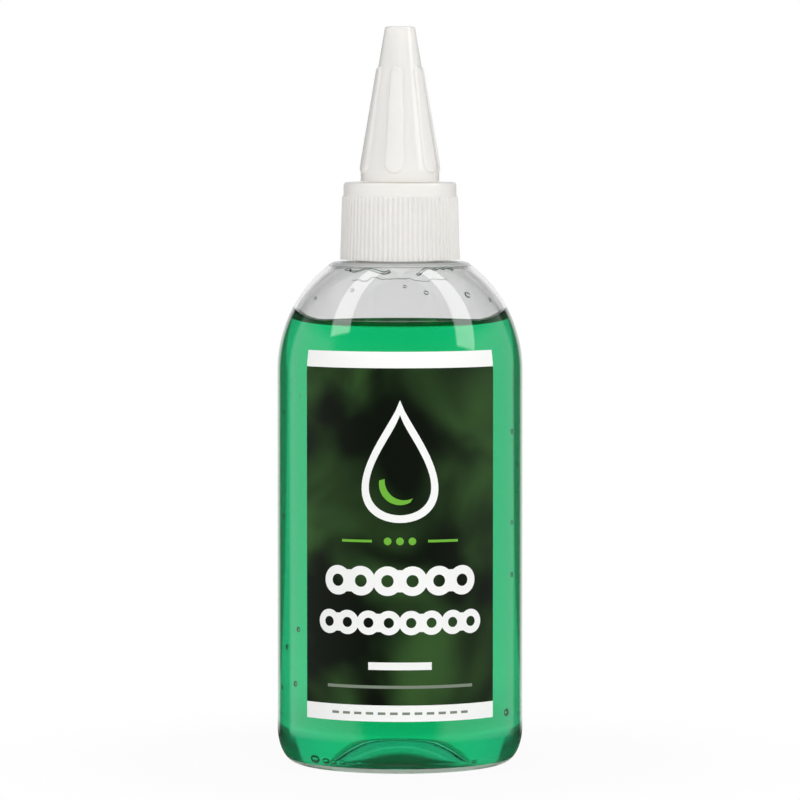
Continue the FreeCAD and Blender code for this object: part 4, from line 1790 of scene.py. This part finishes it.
@dataclass
class Studio:
    """The stage: a white sweep, two long strip lights, soft fill light and the camera."""

    room: Room
    camera_spot: tuple[float, float, float] = (0.0, -1.0, 0.1304)
    looks_at: tuple[float, float, float] = (0.0, 0.0, 0.0723)
    lens: float = 225.8
    shoulder: tuple[float, float, float] = (0.0, 0.0, 0.0904)
    strip_distance: float = 0.7
    strip_width: float = 0.26
    strip_taper: float = 0.6
    strip_level: float = 4.0
    fill_level: float = 0.42
    fill_size: Point = (0.8, 0.8)
    fill_aim: tuple[float, float, float] = (0.0, 0.0, 0.08)
    floor_gap: float = 0.05
    floor_reach: float = 6.0
    panels: Point = (104.0, 0.12)

    def camera(self) -> None:
        """Set up the camera at the photograph's viewing angle."""
        data = bpy.data.cameras.new("camera")
        data.lens = self.lens
        data.sensor_width = 36.0
        data.clip_start = 0.05
        data.clip_end = 50.0
        camera = put("camera", data)
        camera.location = self.camera_spot
        direction = Vector(self.looks_at) - Vector(self.camera_spot)
        camera.rotation_euler = direction.to_track_quat("-Z", "Y").to_euler()
        bpy.context.scene.camera = camera

    def fill(self, name: str, spot: Vector, power: float) -> None:
        """Add a soft square lamp, which gloss and glass don't show.

        Args:
            name: The lamp's name.
            spot: Its centre, from which it faces the bottle.
            power: Its power in watts.
        """
        data = bpy.data.lights.new(name, "AREA")
        data.shape = "RECTANGLE"
        data.size, data.size_y = self.fill_size
        data.energy = power
        lamp = put(name, data)
        back = (spot - Vector(self.fill_aim)).normalized()
        across = Vector((1, 0, 0))
        x = (across - back * across.dot(back)).normalized()
        turn = Matrix((x, back.cross(x), back)).transposed().to_4x4()
        lamp.matrix_world = Matrix.Translation(spot) @ turn
        lamp.visible_glossy = False
        lamp.visible_transmission = False

    def strip(self, name: str, low: Sequence[float], high: Sequence[float]) -> None:
        """Hang a long soft strip light, which only gloss shows.

        Args:
            name: The strip's name.
            low: The direction of its lower end from the shoulder.
            high: The direction of its upper end.
        """
        aim = Vector(self.shoulder)
        first = aim + Vector(low).normalized() * self.strip_distance
        last = aim + Vector(high).normalized() * self.strip_distance
        along = last - first
        across = along.cross(aim - first).normalized() * self.strip_width / 2
        panel = bmesh.new()
        narrow = across * self.strip_taper
        spots = (first - across, last - narrow, last + narrow, first + across)
        face = panel.faces.new([panel.verts.new(spot) for spot in spots])
        chart = panel.loops.layers.uv.new("UVMap")
        for loop, corner in zip(face.loops, ((0, 0), (1, 0), (1, 1), (0, 1))):
            loop[chart].uv = corner
        mesh = as_mesh(panel, name)
        mesh.materials.append(StripLight(name, self.strip_level).make())
        strip = put(name, mesh)
        for ray in ("camera", "diffuse", "transmission", "shadow", "volume_scatter"):
            setattr(strip, f"visible_{ray}", False)

    def lamps(self) -> None:
        """Add the two strips that streak the shoulder, and the soft fill that the gloss doesn't show."""
        self.strip("left_strip", (-0.821, -0.396, 0.411), (-0.23, 0.236, 0.944))
        self.strip("right_strip", (0.883, -0.401, 0.242), (0.24, 0.242, 0.94))
        self.fill("front_fill", Vector((0.35, -1.2, 0.6)), 7.1)
        self.fill("right_fill", Vector((1.0, -0.6, 0.5)), 2.3)
        self.fill("left_fill", Vector((-1.0, -0.7, 0.5)), 3.6)
        self.fill("back_fill", Vector((0.1, 1.3, 0.6)), 5.0)

    def floor(self) -> None:
        """Lay the white sweep a hair below the standing ring, so that the two don't share a plane."""
        paper = bmesh.new()
        under = Matrix.Translation((0, 0, -self.floor_gap * MM))
        bmesh.ops.create_grid(paper, x_segments=2, y_segments=2, size=self.floor_reach, matrix=under)
        mesh = as_mesh(paper, "floor")
        mesh.materials.append(WhiteSweep(self.room).make())
        put("floor", mesh)

    def world(self) -> None:
        """Light the room: plain for what is matt, and as panels and a white wall for gloss and glass."""
        world = bpy.data.worlds.new("studio")
        bpy.context.scene.world = world
        world.use_nodes = True
        tree = world.node_tree
        tree.nodes.clear()
        way = node(tree, "ShaderNodeTexCoord").outputs["Generated"]
        x, y, z = node(tree, "ShaderNodeSeparateXYZ", {0: way}).outputs
        bearing = node(tree, "ShaderNodeMath", {0: x, 1: y}, operation="ARCTAN2")
        height = node(tree, "ShaderNodeMath", {0: z}, operation="ARCSINE")
        level = self.room.level(tree, bearing, height, self.fill_level, self.panels)
        light = node(tree, "ShaderNodeBackground", {"Color": grey(1.0), "Strength": level})
        node(tree, "ShaderNodeOutputWorld", {"Surface": light})

    def build(self) -> None:
        """Set the stage."""
        bpy.context.scene.view_settings.view_transform = "Standard"
        self.camera()
        self.floor()
        self.lamps()
        self.world()


def main() -> None:
    """Build the object's pieces in order, noting each one's triangles, then the stage."""
    logging.basicConfig(level=logging.INFO, format="%(name)s: %(message)s")
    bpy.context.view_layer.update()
    bottle = Bottle()
    bottle.dress()
    Lubricant(bottle).dress()
    FrontLabel(bottle).dress()
    ScrewCap().dress()
    TwistSpout().dress()
    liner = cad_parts["cap_liner"]
    liner.data.materials.clear()
    liner.data.materials.append(FoamedPolyethylene().make())
    log.info("cap_liner: packed node in foamed polyethylene")
    Studio(Room()).build()


if __name__ == "__main__":
    main()
